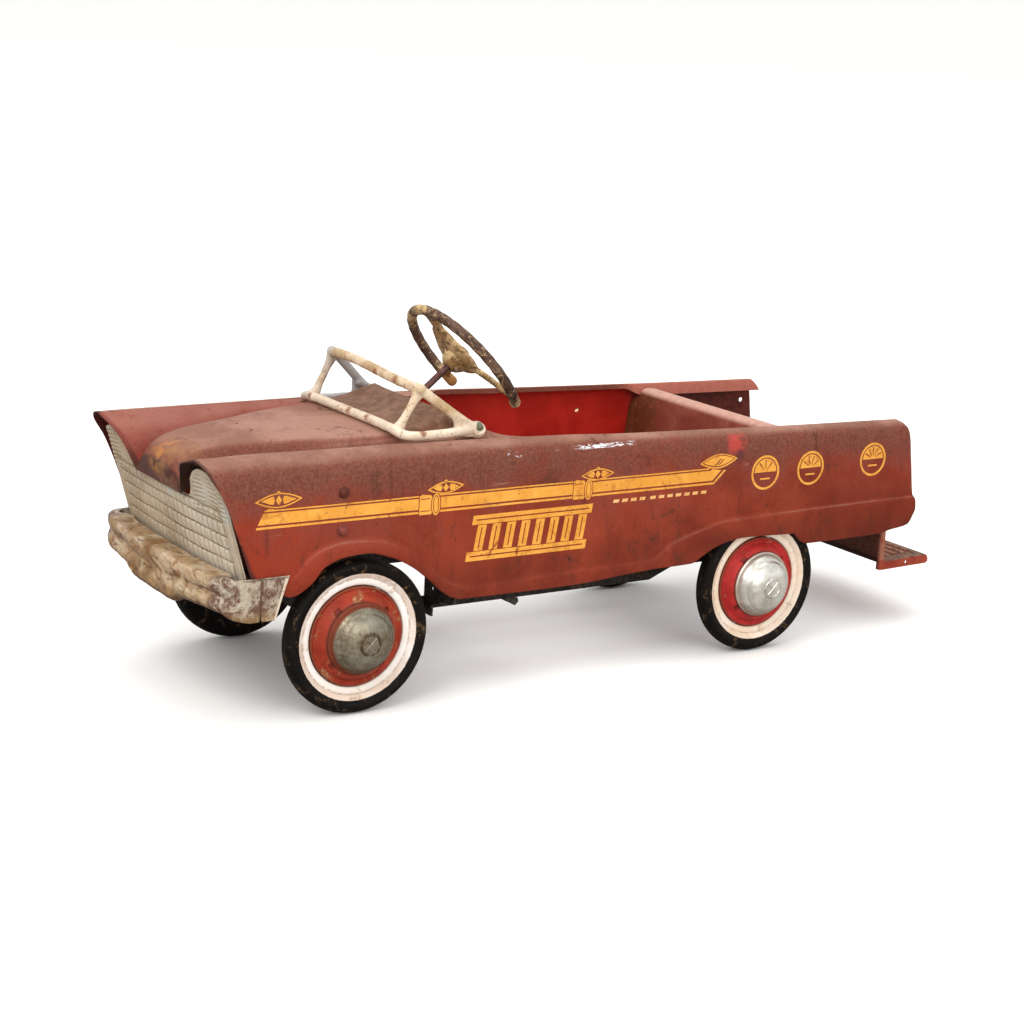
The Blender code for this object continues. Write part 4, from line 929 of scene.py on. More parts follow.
def printed(name, yellow):
    """Printed ink, rubbed through to the paint in places."""
    paint = Paint(name)
    aged_red(paint)
    red = paint.colour
    cloud = paint.noise(26.0, rough=0.65, warp=0.5)
    speck = paint.noise(210.0, rough=0.72)
    lighter = tuple(min(1.0, c * gain) for c, gain in zip(yellow, (1.14, 1.28, 1.6)))
    paint.base(cloud.ramp(0.34, 0.66), yellow, lighter)
    paint.coat(paint.noise(60.0, warp=0.6).ramp(0.52, 0.64) * 0.55, (0.47, 0.165, 0.025))
    rub = speck.ramp(0.62, 0.665).most(
        paint.noise(34.0, detail=6, rough=0.75, warp=1.0).ramp(0.61, 0.66) * 0.9)
    paint.coat(rub * 0.85, red)
    return paint.finish(cloud * 0.2 + 0.36, cloud * 0.4 - rub * 0.5, bump=0.3, depth=0.0004)


def pedal_rubber():
    paint = Paint("ribbed_pedal_rubber")
    cloud = paint.noise(40.0, rough=0.65)
    speck = paint.noise(260.0)
    paint.base(cloud.ramp(0.35, 0.66), (0.013, 0.011, 0.010), (0.034, 0.028, 0.023))
    paint.coat(speck.ramp(0.56, 0.66) * 0.6, (0.13, 0.095, 0.065))
    worn = paint.edges(0.52, 0.58) * speck.ramp(0.36, 0.55)
    paint.coat(worn * 0.6, (0.10, 0.08, 0.06))
    return paint.finish(cloud * 0.25 + 0.55, speck + cloud, bump=0.4)


RED = red_paint()
HOOD_RED = hood_paint()
INNER = inner_paint()
SEAT = seat_paint()
STEP_RED = step_paint()
SILVER = grille_paint()
BUMPER = bumper_paint()
CREAM = cream_paint()
PLASTIC = wheel_plastic()
DARK = steel("greasy_dark_steel", low=(0.006, 0.0045, 0.004), high=(0.020, 0.014, 0.011),
             rust=(0.045, 0.020, 0.010), shift=0.0, metal=0.2)
COLUMN = steel("column_steel", low=(0.045, 0.018, 0.018), high=(0.095, 0.042, 0.040),
               rust=(0.11, 0.045, 0.022), shift=0.3, metal=0.15)
FITTING = steel("dull_plated_steel", low=(0.30, 0.28, 0.22), high=(0.46, 0.44, 0.37),
                rust=(0.19, 0.09, 0.035), shift=0.6, metal=0.85)
SCREW = steel("weathered_screw", low=(0.075, 0.105, 0.075), high=(0.17, 0.21, 0.15),
              rust=(0.10, 0.055, 0.025), shift=0.9, metal=0.6)
BOLT = steel("rusted_bolt", low=(0.085, 0.020, 0.014), high=(0.22, 0.05, 0.034),
             rust=(0.10, 0.028, 0.018), shift=0.2, metal=0.1)
BRASS = steel("tarnished_nut", low=(0.115, 0.070, 0.032), high=(0.24, 0.155, 0.075),
              rust=(0.085, 0.038, 0.018), shift=1.4, metal=0.4)
PEDAL = pedal_rubber()
YELLOW = printed("printed_yellow", (0.74, 0.315, 0.044))
PALE = printed("printed_pale_yellow", (0.76, 0.41, 0.14))

# ------------------------------------------------------------------ side panels
# Against y: x and z of the crest, z of the sill, z and outward swell of the flare above it.
crest_x = curve((-510, 141), (-15, 155), (60, 158), (580, 158))
crest_z = curve((-510, 320), (-460, 320.5), (-190, 320.5), (-15, 318), (60, 315), (200, 311),
                (320, 308), (580, 303))
sill = curve((-455, 184), (-425, 172), (-400, 157), (-376, 169), (-357, 189), (-331, 198),
             (-304, 200), (-271, 192), (-243, 178), (-214, 156), (-200, 143), (-185, 133),
             (-171, 129), (-24, 128), (132, 136), (181, 137), (200, 146), (214, 153), (240, 161),
             (265, 164), (329, 162), (354, 161), (367, 149), (378, 145), (506, 146), (530, 150),
             (554, 153), (572, 159))
flare = curve((-455, 191), (-425, 184), (-404, 178), (-394, 181), (-383, 196), (-359, 211),
              (-326, 217), (-292, 215), (-262, 206), (-234, 189), (-210, 167), (-185, 151),
              (-153, 143), (-7, 147), (120, 149), (134, 158), (145, 166), (193, 181), (234, 190),
              (302, 192), (447, 194), (575, 195))
swell = curve((-404, 0.4), (-380, 4.5), (-200, 4.5), (-150, 2.0), (120, 2.0), (145, 4.5),
              (575, 4.5))
# Against z: y of the front and rear edges.
front_edge = curve((160, -425), (176, -446), (188, -452), (202, -457), (226, -465), (256, -476),
                   (283, -488), (304, -501), (321, -509))
rear_edge = curve((151, 556), (159, 565), (165, 568), (174, 572), (189, 571), (196, 568),
                  (247, 559), (290, 551), (298, 546), (306, 535), (310, 530))


def dent(y, z):
    return 0.32 * ripple(y, z * 1.4, 4, 190.0) + 0.12 * ripple(y, z, 9, 70.0)


def side_rows(y):
    """Control points of the side's section, crest to sill, as a (14, len(y), 2) array of x, z."""
    top_x, top_z, flare_z, sill_z, out = crest_x(y), crest_z(y), flare(y), sill(y), swell(y)
    tail = smooth(302, 332, y) * (1 - smooth(555, 572, y))
    span = WALL_X - top_x
    rows = [
        (top_x - 7.0 * tail, top_z - 7.0 - 9.5 * tail),
        (top_x - 3.4 * tail, top_z - 0.8 - 6.6 * tail),
        (top_x + 2.0 - 0.6 * tail, top_z - 0.4 * tail),
        (top_x + 0.35 * span, top_z - 1.5),
        (top_x + 0.7 * span, top_z - 6.0),
        (top_x + 0.93 * span, top_z - 15.0),
        (WALL_X, top_z - 32.0),
        (WALL_X + 0.4, 0.5 * (top_z - 32.0 + flare_z)),
        (WALL_X + 0.2, flare_z + 3.9),
        (WALL_X + out * 0.85, flare_z - 3.2),
        (WALL_X + out, flare_z - 0.45 * (flare_z - sill_z) - 1.0),
        (WALL_X + 0.8 * out, sill_z + 1.5),
        (WALL_X + 0.4 * out, sill_z),
        (WALL_X + 0.4 * out - 5.0, sill_z + 0.5),
    ]
    return np.array([[np.broadcast_to(q, y.shape) for q in row] for row in rows]
                    ).transpose(0, 2, 1)


def side_section(y, rows):
    """x, z of the outer surface at control-row positions, for each y."""
    return hermite(np.arange(14), side_rows(np.asarray(y, float)), rows)


def steps_between(*runs):
    """Even samples over (start, end, count) runs that share their ends."""
    return np.concatenate([np.linspace(*run)[:-1] for run in runs[:-1]]
                          + [np.linspace(*runs[-1])])


# Beyond these two y the columns of the grid are stretched to meet the shaped ends.
FRONT_START, FRONT_TIP, REAR_START, REAR_TIP = -400, -520, 506, 580
ROWS = steps_between((0, 6, 33), (6, 8, 19), (8, 10, 15), (10, 13, 19))
stations = steps_between((FRONT_TIP, FRONT_START, 26), (-400, -160, 76), (-160, 110, 46),
                         (110, 400, 76), (400, REAR_START, 24), (REAR_START, REAR_TIP, 17))
front_heights = np.where(ROWS > 7.2, side_section([-450.0], ROWS)[:, 0, 1],
                         side_section([-505.0], ROWS)[:, 0, 1])
y_front = front_edge(front_heights)[:, None]
y_rear = rear_edge(side_section([560.0], ROWS)[:, 0, 1])[:, None]
side_y = np.tile(stations, (len(ROWS), 1))
side_y = np.where(side_y < FRONT_START, FRONT_START + (side_y - FRONT_START)
                  * (y_front - FRONT_START) / (FRONT_TIP - FRONT_START), side_y)
side_y = np.where(side_y > REAR_START, REAR_START + (side_y - REAR_START)
                  * (y_rear - REAR_START) / (REAR_TIP - REAR_START), side_y)
side_grid = np.zeros((*side_y.shape, 3))
for i, row in enumerate(ROWS):
    section = side_section(side_y[i], np.array([row]))[0]
    side_grid[i] = np.stack([section[:, 0], side_y[i], section[:, 1]], -1)
dent_fade = smooth(3, 6, ROWS)[:, None] * (1 - smooth(10.5, 12, ROWS))[:, None]
side_grid[..., 0] += dent(side_grid[..., 1], side_grid[..., 2]) * dent_fade


def paint_inside(obj, sign):
    """Gives the faces that look inwards the shaded paint."""
    obj.data.materials.append(INNER)
    polygons = obj.data.polygons
    normals = np.empty(len(polygons) * 3, np.float32)
    centres = np.empty(len(polygons) * 3, np.float32)
    polygons.foreach_get("normal", normals)
    polygons.foreach_get("center", centres)
    normals, centres = normals.reshape(-1, 3), centres.reshape(-1, 3)
    inside = (normals[:, 0] * sign < -0.25) & (np.abs(centres[:, 0]) > 0.1605)
    inside |= (normals[:, 2] < -0.5) & (centres[:, 2] > 0.28)
    polygons.foreach_set("material_index", inside.astype(np.int32))


for side, sign in SIDES:
    panel = sheet_object(f"body_side_{side}", side_grid * np.array([sign, 1, 1]), (sign, 0, 0),
                         RED, "body_red", f"side_panel_{side}")
    if sign < 0:
        drill(panel, [(-WALL_X, 234, 270), (-WALL_X, 538, 268)], 3.5)
    paint_inside(panel, sign)

# ------------------------------------------------------------------ hood and cowl
# Front to back: seven points from the middle outwards, then the y where the row meets the crest.
HOOD = [
    [(0, -490, 263), (30, -490, 263), (50, -490, 263), (60, -490, 263),
     (65, -490, 263), (82, -498, 290), (96, -504, 305), -509],
    [(0, -494, 282), (30, -493, 281), (50, -491, 277), (60, -489, 271),
     (66, -485, 266), (83, -492, 292), (97, -497, 306), -500],
    [(0, -487, 300), (28, -486, 299), (47, -483, 294), (58, -479, 281),
     (67, -475, 269), (84, -482, 294), (99, -487, 307), -488],
    [(0, -470, 311), (28, -469, 310), (48, -466, 306), (59, -463, 289),
     (68, -460, 272), (85, -464, 296), (101, -466, 309), -466],
    [(0, -440, 316), (30, -440, 316), (51, -440, 313), (64, -440, 294),
     (72, -440, 277), (88, -440, 298), (104, -440, 311), -440],
    [(0, -380, 321), (38, -380, 321), (63, -380, 318), (75, -380, 303),
     (84, -380, 290), (97, -380, 303), (112, -380, 313), -380],
    [(0, -300, 325), (55, -300, 324.5), (89, -300, 321.5), (99, -300, 313),
     (108, -300, 303), (117, -300, 309), (127, -300, 316), -300],
    [(0, -240, 327), (65, -240, 326.5), (102, -240, 324.5), (110, -240, 318),
     (118, -240, 311), (126, -240, 314), (134, -240, 318), -240],
    [(0, -190, 334), (66, -190, 333.5), (103, -190, 331), (112, -190, 323),
     (121, -190, 316), (129, -190, 317), (138, -190, 318.5), -190],
    [(0, -168, 340), (65, -167, 340), (102, -166, 338), (112, -158, 328),
     (122, -148, 319), (131, -138, 316.5), (141, -120, 316.5), -105],
    [(0, -150, 344), (64, -148, 344), (100, -144, 344), (112, -128, 333),
     (122, -108, 323), (131, -86, 317), (142, -50, 315), -15],
]
hood_rows = [mirrored([*line, (float(crest_x(edge)) - 0.5, edge, float(crest_z(edge)) - 0.6)])
             for *line, edge in HOOD]
hood_grid = finer(finer(hood_rows, 9, 0), 8, 1)
hood_grid[..., 2] += (0.35 * ripple(hood_grid[..., 0], hood_grid[..., 1], 12, 150.0)
                      * (1 - smooth(120, 140, np.abs(hood_grid[..., 0]))))
hood = sheet_object("hood_and_cowl", hood_grid, (0, 0, 1), HOOD_RED, "body_red", "hood")
drill(hood, [(20, -379, 308), (-20, -379, 308)], 2.3, axis=(0, 0, 1), span=(0, 24), sides=20,
      sharp=50)

# ------------------------------------------------------------------ grille
GRILLE_HALF, GRILLE_FOOT = 172, 168.0
BAND_Z = [196.0, 212.5, 229.0, 245.0, 259.0]        # grooves between the rows of cells
CELL_PITCH, CELL_EDGE = 13.0, 153
grille_top = curve((0, 260), (68, 260), (77, 264), (86, 276), (94, 288), (108, 299), (125, 304),
                   (145, 302), (160, 298), (172, 288))
grille_x, up_fraction = np.meshgrid(np.linspace(-GRILLE_HALF, GRILLE_HALF, 345),
                                    np.linspace(0, 1, 132))
from_middle = np.abs(grille_x)
grille_z = GRILLE_FOOT + (grille_top(from_middle) - GRILLE_FOOT) * up_fraction
grille_y = -462.0 - (grille_z - 186.0) * 0.28 + 6.0 * (grille_x / 172.0) ** 2


def valley(value, at, width):
    """1 at a groove's middle, 0 beyond its width."""
    return np.clip(1 - np.abs(value - at) / width, 0, 1) ** 1.3


in_cells = from_middle < CELL_EDGE
groove, ridge = np.zeros_like(grille_x), np.zeros_like(grille_x)
for k, band_z in enumerate(BAND_Z):
    line = band_z + 0.9 * ripple(grille_x, grille_x * 0, 3 + k, 160)
    groove = np.maximum(groove, valley(grille_z, line, 2.0) * in_cells)
    ridge = np.maximum(ridge, 0.6 * valley(grille_z, line - 3.2, 2.2) * in_cells)
for k in range(24):
    for b, (z_low, z_high) in enumerate(zip([170.0] + BAND_Z[:-1], BAND_Z)):
        middle = -149.5 + CELL_PITCH * k + 1.2 * math.sin(1.7 * k + 2.1 * b)
        rows = (grille_z > z_low + 1.2) & (grille_z < z_high - 1.2)
        cell = rows & in_cells
        groove = np.maximum(groove, valley(grille_x, middle, 2.9) * cell)
        groove = np.maximum(groove, 0.45 * valley(grille_x, middle + CELL_PITCH / 2, 1.9)
                            * (rows & (from_middle < 149)))
        ridge = np.maximum(ridge, valley(grille_x, middle - 3.9, 2.6) * cell)
        ridge = np.maximum(ridge, 0.7 * valley(grille_x, middle + 3.9, 2.2) * cell)
# the raised lobe near each end carries nine bowed slats
lobe = (smooth(84, 92, from_middle) * (1 - smooth(164, 168, from_middle))
        * smooth(247, 251, grille_z))
slat = np.zeros_like(grille_x)
for k in range(9):
    bow = 0.0018 * (from_middle - 127) ** 2
    slat = np.maximum(slat, valley(grille_z, 252 + 5.4 * k - bow, 1.5))
slat *= lobe * (np.abs(from_middle - 127) > 5) * (grille_z < grille_top(from_middle) - 4)
groove = np.maximum(groove, slat * 0.9)
frame_line = np.maximum(valley(from_middle, 153.5, 1.8),
                        valley(from_middle, 167.0, 1.5) * (grille_z < 292))
groove = np.maximum(groove, frame_line * 0.85)
rounding = np.zeros_like(grille_x)
for z_low, z_high in zip([178.0] + BAND_Z[:-1], BAND_Z):
    t = np.clip((grille_z - z_low) / (z_high - z_low), 0, 1)
    in_row = (grille_z >= z_low) & (grille_z <= z_high)
    rounding = np.maximum(rounding, np.where(in_row, np.sin(math.pi * t) ** 0.5, 0))
ridge *= np.clip(1 - groove, 0, 1)
relief = (1.5 * rounding * in_cells + 0.9 * ridge - 2.2 * groove
          + 1.6 * smooth(154, 157, from_middle) * (1 - smooth(164, 167, from_middle)))
relief += 1.2 * lobe
sheet_object("grille_face", np.stack([grille_x, grille_y - relief, grille_z], -1), (0, -1, 0),
             SILVER, "grille_silver", "grille", thick=1.2, sharp=60,
             attributes={"groove": groove, "ridge": ridge})

# ------------------------------------------------------------------ bumper
BUMPER_TOP = 184.5
# x, y of the left half, from the middle round to the back of the wing
BUMPER_PATH = [(0, -498), (30, -498), (55, -497.6), (78, -497), (120, -495), (150, -491),
               (165, -486), (174, -480), (180, -469), (181.8, -452), (181.8, -441),
               (180.2, -438), (181.8, -435), (181.8, -420), (181.8, -404)]
# outward offset and fraction of the height
BUMPER_PROFILE = [(-29, 0.975), (-16, 0.99), (-6, 1.005), (-1.5, 0.985), (0.2, 0.93),
                  (0.8, 0.80), (-0.6, 0.66), (-2.4, 0.55), (-1.2, 0.44), (1.2, 0.30),
                  (1.0, 0.18), (-1.6, 0.07), (-6, 0.015), (-12, 0.0)]
# against x: z of the bottom edge, and how far the offsets are kept
bumper_low = curve((0, 128), (30, 128), (55, 129), (78, 139), (120, 142), (150, 144), (165, 143),
                   (174, 140), (180, 136), (181.7, 133), (182, 132))
flange = curve((0, 1.0), (150, 1.0), (165, 0.85), (174, 0.55), (180, 0.20), (181.6, 0.04),
               (182, 0.03))
bumper_path = finer(BUMPER_PATH, steps_between((0, 4, 61), (4, 14, 100)))
along = np.gradient(bumper_path, axis=0)
along /= np.linalg.norm(along, axis=1, keepdims=True)
path_x, path_y = bumper_path[:, :1], bumper_path[:, 1:]
offset, height = finer(BUMPER_PROFILE, 6).T
offset = offset * flange(path_x)
low_z = bumper_low(path_x)
bumper_z = low_z + (BUMPER_TOP - low_z) * height
# the wing's rear edge leans forward towards the bottom
lean = (BUMPER_TOP - bumper_z) / 52.5 * 17.0 * np.clip((path_y + 441) / 37.0, 0, 1)
half = np.stack([path_x + along[:, 1:] * offset, path_y - lean - along[:, :1] * offset,
                 bumper_z], -1)
bumper = np.concatenate([(half * np.array([-1, 1, 1]))[:0:-1], half])
arc = np.cumsum(np.r_[0, np.linalg.norm(np.diff(bumper[:, 30, :2], axis=0), axis=1)])
arc -= arc[len(arc) // 2]
arc = np.tile(arc[:, None], (1, bumper.shape[1]))
across, bumper_z = np.abs(bumper[..., 0]), bumper[..., 2]
knocks = (0.8 * ripple(arc, bumper_z * 1.6, 21, 85.0)
          + 0.55 * ripple(arc, bumper_z * 1.2, 22, 30.0)
          + 0.3 * ripple(arc, bumper_z * 2.0, 23, 14.0))
bumper[..., 1] += np.clip(knocks * (1 - smooth(175, 181, across) * 0.8), -1.1, 3.0)
rim_line = np.zeros(bumper.shape[:2])
rim_line[[0, 1, 2, -1, -2, -3]] = 1.0
rim_line[:, 4:9] = np.maximum(rim_line[:, 4:9], 0.5 * smooth(150, 170, across[:, 4:9]))
wing_crease = bumper[..., 1] + 438 + (BUMPER_TOP - bumper_z) / 52.5 * 1.5
wing_groove = np.clip(1 - np.abs(wing_crease) / 2.2, 0, 1) * (across > 178.5)
sheet_object("bumper_bar", bumper, (0, -1, 0), BUMPER, "bumper_rust", "bumper",
             attributes={"rim": rim_line, "groove": wing_groove})

# ------------------------------------------------------------------ seat back and pan
SEAT_HALF = 175.6
# y, z, half width
SEAT_BACK = [(317, 200.5, SEAT_HALF), (322, 250, SEAT_HALF), (324, 276, 172.6),
             (325.5, 287, 160), (327, 295, 150.5), (329.5, 299.3, 150.3), (334, 301, 150.3),
             (341, 301.4, 150.3), (348, 301, 150.3), (352.5, 299.3, 150.3), (354.5, 295, 150.3),
             (355.6, 286, 150.3), (356, 262, 150.3)]
# y, z
SEAT_PAN = [(172, 158), (171, 180), (172, 192), (176, 197.5), (186, 199), (198, 196), (304, 196),
            (313, 198)]
widthwise = np.linspace(-1, 1, 61)
back = finer([[(q * half_width, y + 1.5 * q * q, z) for q in widthwise]
              for y, z, half_width in SEAT_BACK], 6)
back[..., 1] += (0.8 * ripple(back[..., 0], back[..., 2], 31, 150)
                 * smooth(205, 240, back[..., 2]) * (1 - smooth(280, 296, back[..., 2])))
sheet_object("seat_back_panel", back, (0, 0, 1), SEAT, "body_red", "seat_back")
pan = finer([[(q * SEAT_HALF, y, z) for q in widthwise] for y, z in SEAT_PAN], 6)
sheet_object("seat_pan_panel", pan, (0, 0, 1), SEAT, "body_red", "seat_pan")

# ------------------------------------------------------------------ rear step
TREAD_Z, RIB_PITCH = 90, 16
# y, z down the riser, over the ribbed tread and its rear edge
STEP = [(551, 184), (549.8, 178), (549.5, 160), (549.5, 98), (550.4, 93.2), (553, 90.6),
        (557, TREAD_Z), (563, TREAD_Z)]
for k in range(5):
    STEP += [(567 + RIB_PITCH * k + dy, TREAD_Z + dz)
             for dy, dz in ((0, 0), (2.6, 2.6), (5.5, 3.2), (8.4, 2.6), (11, 0))]
STEP += [(650, TREAD_Z), (654, 89.2), (656, 87), (656.8, 82.5)]
# fraction of the half width, and how far the sheet is turned down there
STEP_COLUMNS = [(-1.0, 1.4), (-0.995, 0.5), (-0.97, 0.1), (-0.93, 0), (-0.90, 0), (-0.86, 0),
                (0.0, 0), (0.86, 0), (0.90, 0), (0.93, 0), (0.97, 0.1), (0.995, 0.5), (1.0, 1.4)]


def step_taper(y):
    return max(0.0, y - 560) * 0.08


step_grid = []
for y, z in finer(STEP, 4):
    rib = max(0.0, z - TREAD_Z) if 560 < y < 650 else 0.0
    # the riser's side lips turn back, the tread's turn down
    corner = 0.0 if z > 95 else max(0.0, min(1.0, (y - 551) / 6.0))
    step_grid.append([(c * (140.0 - step_taper(y)), y + drop * 0.95 * (1 - corner),
                       z - rib + (rib if abs(c) <= 0.86 else 0) - drop * corner)
                      for c, drop in STEP_COLUMNS])
sheet_object("rear_step", finer(step_grid, 3, 1), (0, -0.3, 1), STEP_RED, "body_red", "step",
             thick=1.6, sharp=45)
lip_y = np.concatenate([[549.6, 551, 555, 559.5, 560.8, 562.5, 565, 568],
                        np.linspace(575, 652, 12), [655, 656.8]])
lip_top = curve((549.6, 183.5), (559.5, 183.5), (562.5, 95.5), (568, 89.4), (600, 88.9),
                (652, 88.4), (656.8, 84.0))
lip_low = curve((549.6, 80.5), (552.5, 78.4), (558, 77.8), (620, 77.2), (652, 76.8),
                (656.8, 79.5))
for side, sign in SIDES:
    lip_grid = [[(sign * (140.4 - step_taper(y)), y,
                  (1 - t) * float(lip_top(y)) + t * float(lip_low(y))) for y in lip_y]
                for t in np.linspace(0, 1, 12)]
    lip = sheet_object(f"rear_step_lip_{side}", lip_grid, (sign, 0, 0), STEP_RED, "body_red",
                       thick=1.6, sharp=40)
    drill(lip, [(sign * 136.5, 610, 83.6)], 2.3)

# ------------------------------------------------------------------ windshield frame
# x, y, z of the left halves of the rails, from the middle
BOTTOM_RAIL = [(0, -239, 333.2), (60, -238.5, 333.2), (106, -237, 331.8), (127, -232.5, 327.6),
               (137, -225, 326.8), (140.5, -212, 326.6), (139, -180, 326.8), (131, -128, 328.2)]
TOP_RAIL = [(0, -209, 381), (60, -207.5, 380.5), (96, -205, 379.2), (109, -202, 377.5),
            (115, -196, 374), (119, -183, 364), (130.4, -138.5, 332)]
LUG_PROFILE = [(0, -8.0), (9.6, -8.0), (10.8, -5.0), (10.8, 1.0), (9.8, 3.4), (0, 3.8)]
WEB = [(-122, 320), (-122, 334), (-140, 339), (-160, 348), (-160, 321), (-140, 319)]
RIGHT_LIFT = 9.0        # the right end of the top rail is bent up


def lug_frame(sign):
    """Centre and axis of the lug that sits on the cowl."""
    return (sign * 131, -128, 328.0), (sign * 0.66, -0.1, 0.745)


bottom = finer(mirrored(BOTTOM_RAIL), 8)
bottom[:, 2] -= (6.5 * smooth(-118, -136, bottom[:, 0]) * smooth(-236, -222, bottom[:, 1])
                 * smooth(-135, -160, bottom[:, 1]))
top = finer(mirrored(TOP_RAIL), 8)
top[:, 2] += RIGHT_LIFT * smooth(104, -60, top[:, 0]) * smooth(334, 372, top[:, 2])
parts = [bar(bottom, (5.9, 5.7), hint=(0, 0, 1)), bar(top, (5.7, 6.2))]
for sign in (1, -1):
    lift, foot_x = (0.0, 117) if sign > 0 else (RIGHT_LIFT, 104)
    foot = np.array((sign * foot_x, -233, 328.5))
    head = np.array((sign * 112, -200, 376.5 + lift))
    t = np.linspace(0, 1, 16)[:, None]
    width = 5.0 + 6.5 * (np.abs(2 * t[:, 0] - 1) ** 3.0)
    parts.append(bar(foot + (head - foot) * t, np.stack([width, 4.4 + 0 * width], -1), 18,
                     hint=(0, 1, 0)))
    # rounded lug that closes the corner, its web and the joints into the rails
    parts.append(turned(LUG_PROFILE, *lug_frame(sign), 32)[:2])
    parts.append(slab(WEB, sign * 131.5 - 4.2, sign * 131.5 + 4.2))
    parts.append(capped([(sign * 126, -156, 343), (sign * 131, -134, 330)], (7.0, 6.2), 16))
    parts.append(capped([(sign * 108, -203.5, 378.5 + lift), (sign * 116, -201, 378 + lift)],
                        (6.6, 6.6), 16))


def pitted(points):
    out = points.copy()
    out[:, 2] += 0.22 * ripple(points[:, 0] * 1.3, points[:, 1] + points[:, 2], 41, 26.0)
    return out


cast("windshield_casting", parts, 1.3, 6, CREAM, "windshield_frame",
     [pin(3.0, -30, 30, *lug_frame(sign), 20) for sign in (1, -1)], warp=pitted)

SCREEN_BOLT = [(0, -14), (2.6, -14), (2.6, 4.2), (6.6, 4.2), (6.8, 4.7), (6.4, 5.2), (5.6, 5.4),
               (5.4, 6.4), (4.6, 7.8), (2.7, 8.8), (0, 9.1)]
BODY_BOLT = [(0, 0), (2.6, 0), (2.6, 10.6), (7.2, 10.6), (7.4, 11.3), (6.2, 11.9), (6.0, 12.6),
             (5.2, 14.0), (3.4, 15.1), (0, 15.6)]
for side, sign in SIDES:
    lathe(f"screen_bolt_{side}", SCREEN_BOLT, *lug_frame(sign), SCREW, "dull_chrome",
          f"windshield_bolt_{side}")
    for label, z in (("upper", 276.0), ("lower", 230.0)):
        lathe(f"body_bolt_{label}_{side}", BODY_BOLT, (sign * 167.8, -335, z), (sign, 0, 0),
              BOLT, "body_red", f"fender_bolt_{label}_{side}")

# ------------------------------------------------------------------ wheels
# Profiles of radius and distance outwards from the wheel face.
TYRE = [(62.5, -21.5), (62.3, -17), (62.6, -12), (64.0, -9.2), (66.5, -8.0), (69.5, -7.6),
        (71.6, -8.2), (72.6, -8.3), (74.0, -7.0), (77.0, -4.6), (80.0, -2.8), (83.5, -0.9),
        (87, 0.0), (90.0, -1.0), (92.4, -3.4), (94.2, -6.0), (95.0, -8.4), (95.0, -10.4),
        (94.2, -11.2), (95.0, -12.0), (94.9, -14.0), (94.0, -14.8), (94.6, -15.6), (94.2, -17.8),
        (92.4, -21.0), (89.0, -23.8), (84.0, -25.2), (72.0, -25.4), (64, -24)]
DISC_FACE = [(62.0, -8.9), (61.6, -7.7), (60.6, -7.3), (59.2, -7.9), (57.6, -9.0), (55.4, -8.6),
             (52.5, -5.4), (49.2, -1.8), (46.0, 0.4), (42.0, 1.7), (38, 1.9)]
DISC_BACK = [(11.0, 1.9), (11.0, 12.0), (5.35, 12.0), (5.35, -34.0), (11.0, -34.0), (11.0, 0.3),
             (36, 0.3), (41.0, -0.5), (48, -4.4), (57.5, -13.0), (58.5, -22.0), (62.0, -22.5)]
CAP = [(44.0, 1.9), (44.3, 2.6), (44.2, 3.4), (43.2, 3.9), (42.4, 4.4), (41.9, 6.4), (41.0, 9.0),
       (39.2, 11.8), (37.4, 13.9), (36.4, 14.6), (35.4, 14.8), (34.6, 15.6), (33.0, 18.2),
       (30.0, 20.9), (25.0, 23.7), (20.0, 25.5), (16.0, 26.5), (13.4, 26.9), (12.9, 27.6),
       (12.2, 28.0), (11.3, 27.7), (10.8, 27.1), (8.0, 27.4), (4.0, 27.6), (0, 27.7)]
CAP_BACK = [(0, 26.2), (12, 25.4), (24.2, 21.7), (32.8, 16.0), (38.0, 10.5), (40.8, 4.0),
            (41.4, 1.9)]
SLOT_ANGLES = [math.radians(q) for q in (40, 130, 220, 310)]
SLOT_R = 46

TYRES = {
    "front_left": tyre_rubber("tyre_front_near", shift=0.0, tint=(0.88, 0.80, 0.73), dirt=0.75),
    "front_right": tyre_rubber("tyre_front_far", shift=1.7, tint=(0.80, 0.70, 0.60), dirt=0.9),
    "rear_left": tyre_rubber("tyre_rear_near", shift=3.1, tint=(0.82, 0.63, 0.45), dirt=0.30,
                             pale=(0.90, 0.80, 0.69)),
    "rear_right": tyre_rubber("tyre_rear_far", shift=4.6, tint=(0.80, 0.68, 0.56), dirt=0.9),
}
DISCS = {
    "front_left": disc_paint("disc_front_near", shift=0.2, wear=1.0),
    "front_right": disc_paint("disc_front_far", shift=1.1, wear=1.0),
    "rear_left": disc_paint("disc_rear_near", shift=2.3, wear=0.35, low=(0.33, 0.018, 0.016),
                            high=(0.50, 0.032, 0.030)),
    "rear_right": disc_paint("disc_rear_far", shift=3.9, wear=0.8),
}
CAPS = {
    "front_left": cap_chrome("cap_front_near", shift=0.1, clean=(0.37, 0.345, 0.280),
                             dull=(0.175, 0.155, 0.110), dirt=1.0),
    "front_right": cap_chrome("cap_front_far", shift=1.3, clean=(0.46, 0.44, 0.36),
                              dull=(0.30, 0.28, 0.22), dirt=0.8),
    "rear_left": cap_chrome("cap_rear_near", shift=2.4, clean=(0.90, 0.89, 0.83),
                            dull=(0.62, 0.61, 0.55), dirt=0.30),
    "rear_right": cap_chrome("cap_rear_far", shift=3.6, clean=(0.60, 0.58, 0.50),
                             dull=(0.42, 0.40, 0.33), dirt=0.6),
}
BODY_OF = {"front_left": "front_left_wheel", "front_right": "front_right_wheel",
           "rear_left": "rear_drive", "rear_right": "rear_right_wheel"}


def slot_distance(angle):
    """Distance round the disc from the nearest pressed slot."""
    return SLOT_R * np.min([np.abs((angle - slot + math.pi) % math.tau - math.pi)
                            for slot in SLOT_ANGLES], axis=0)


def placed(profile, face):
    return [(radius, face + out) for radius, out in profile]


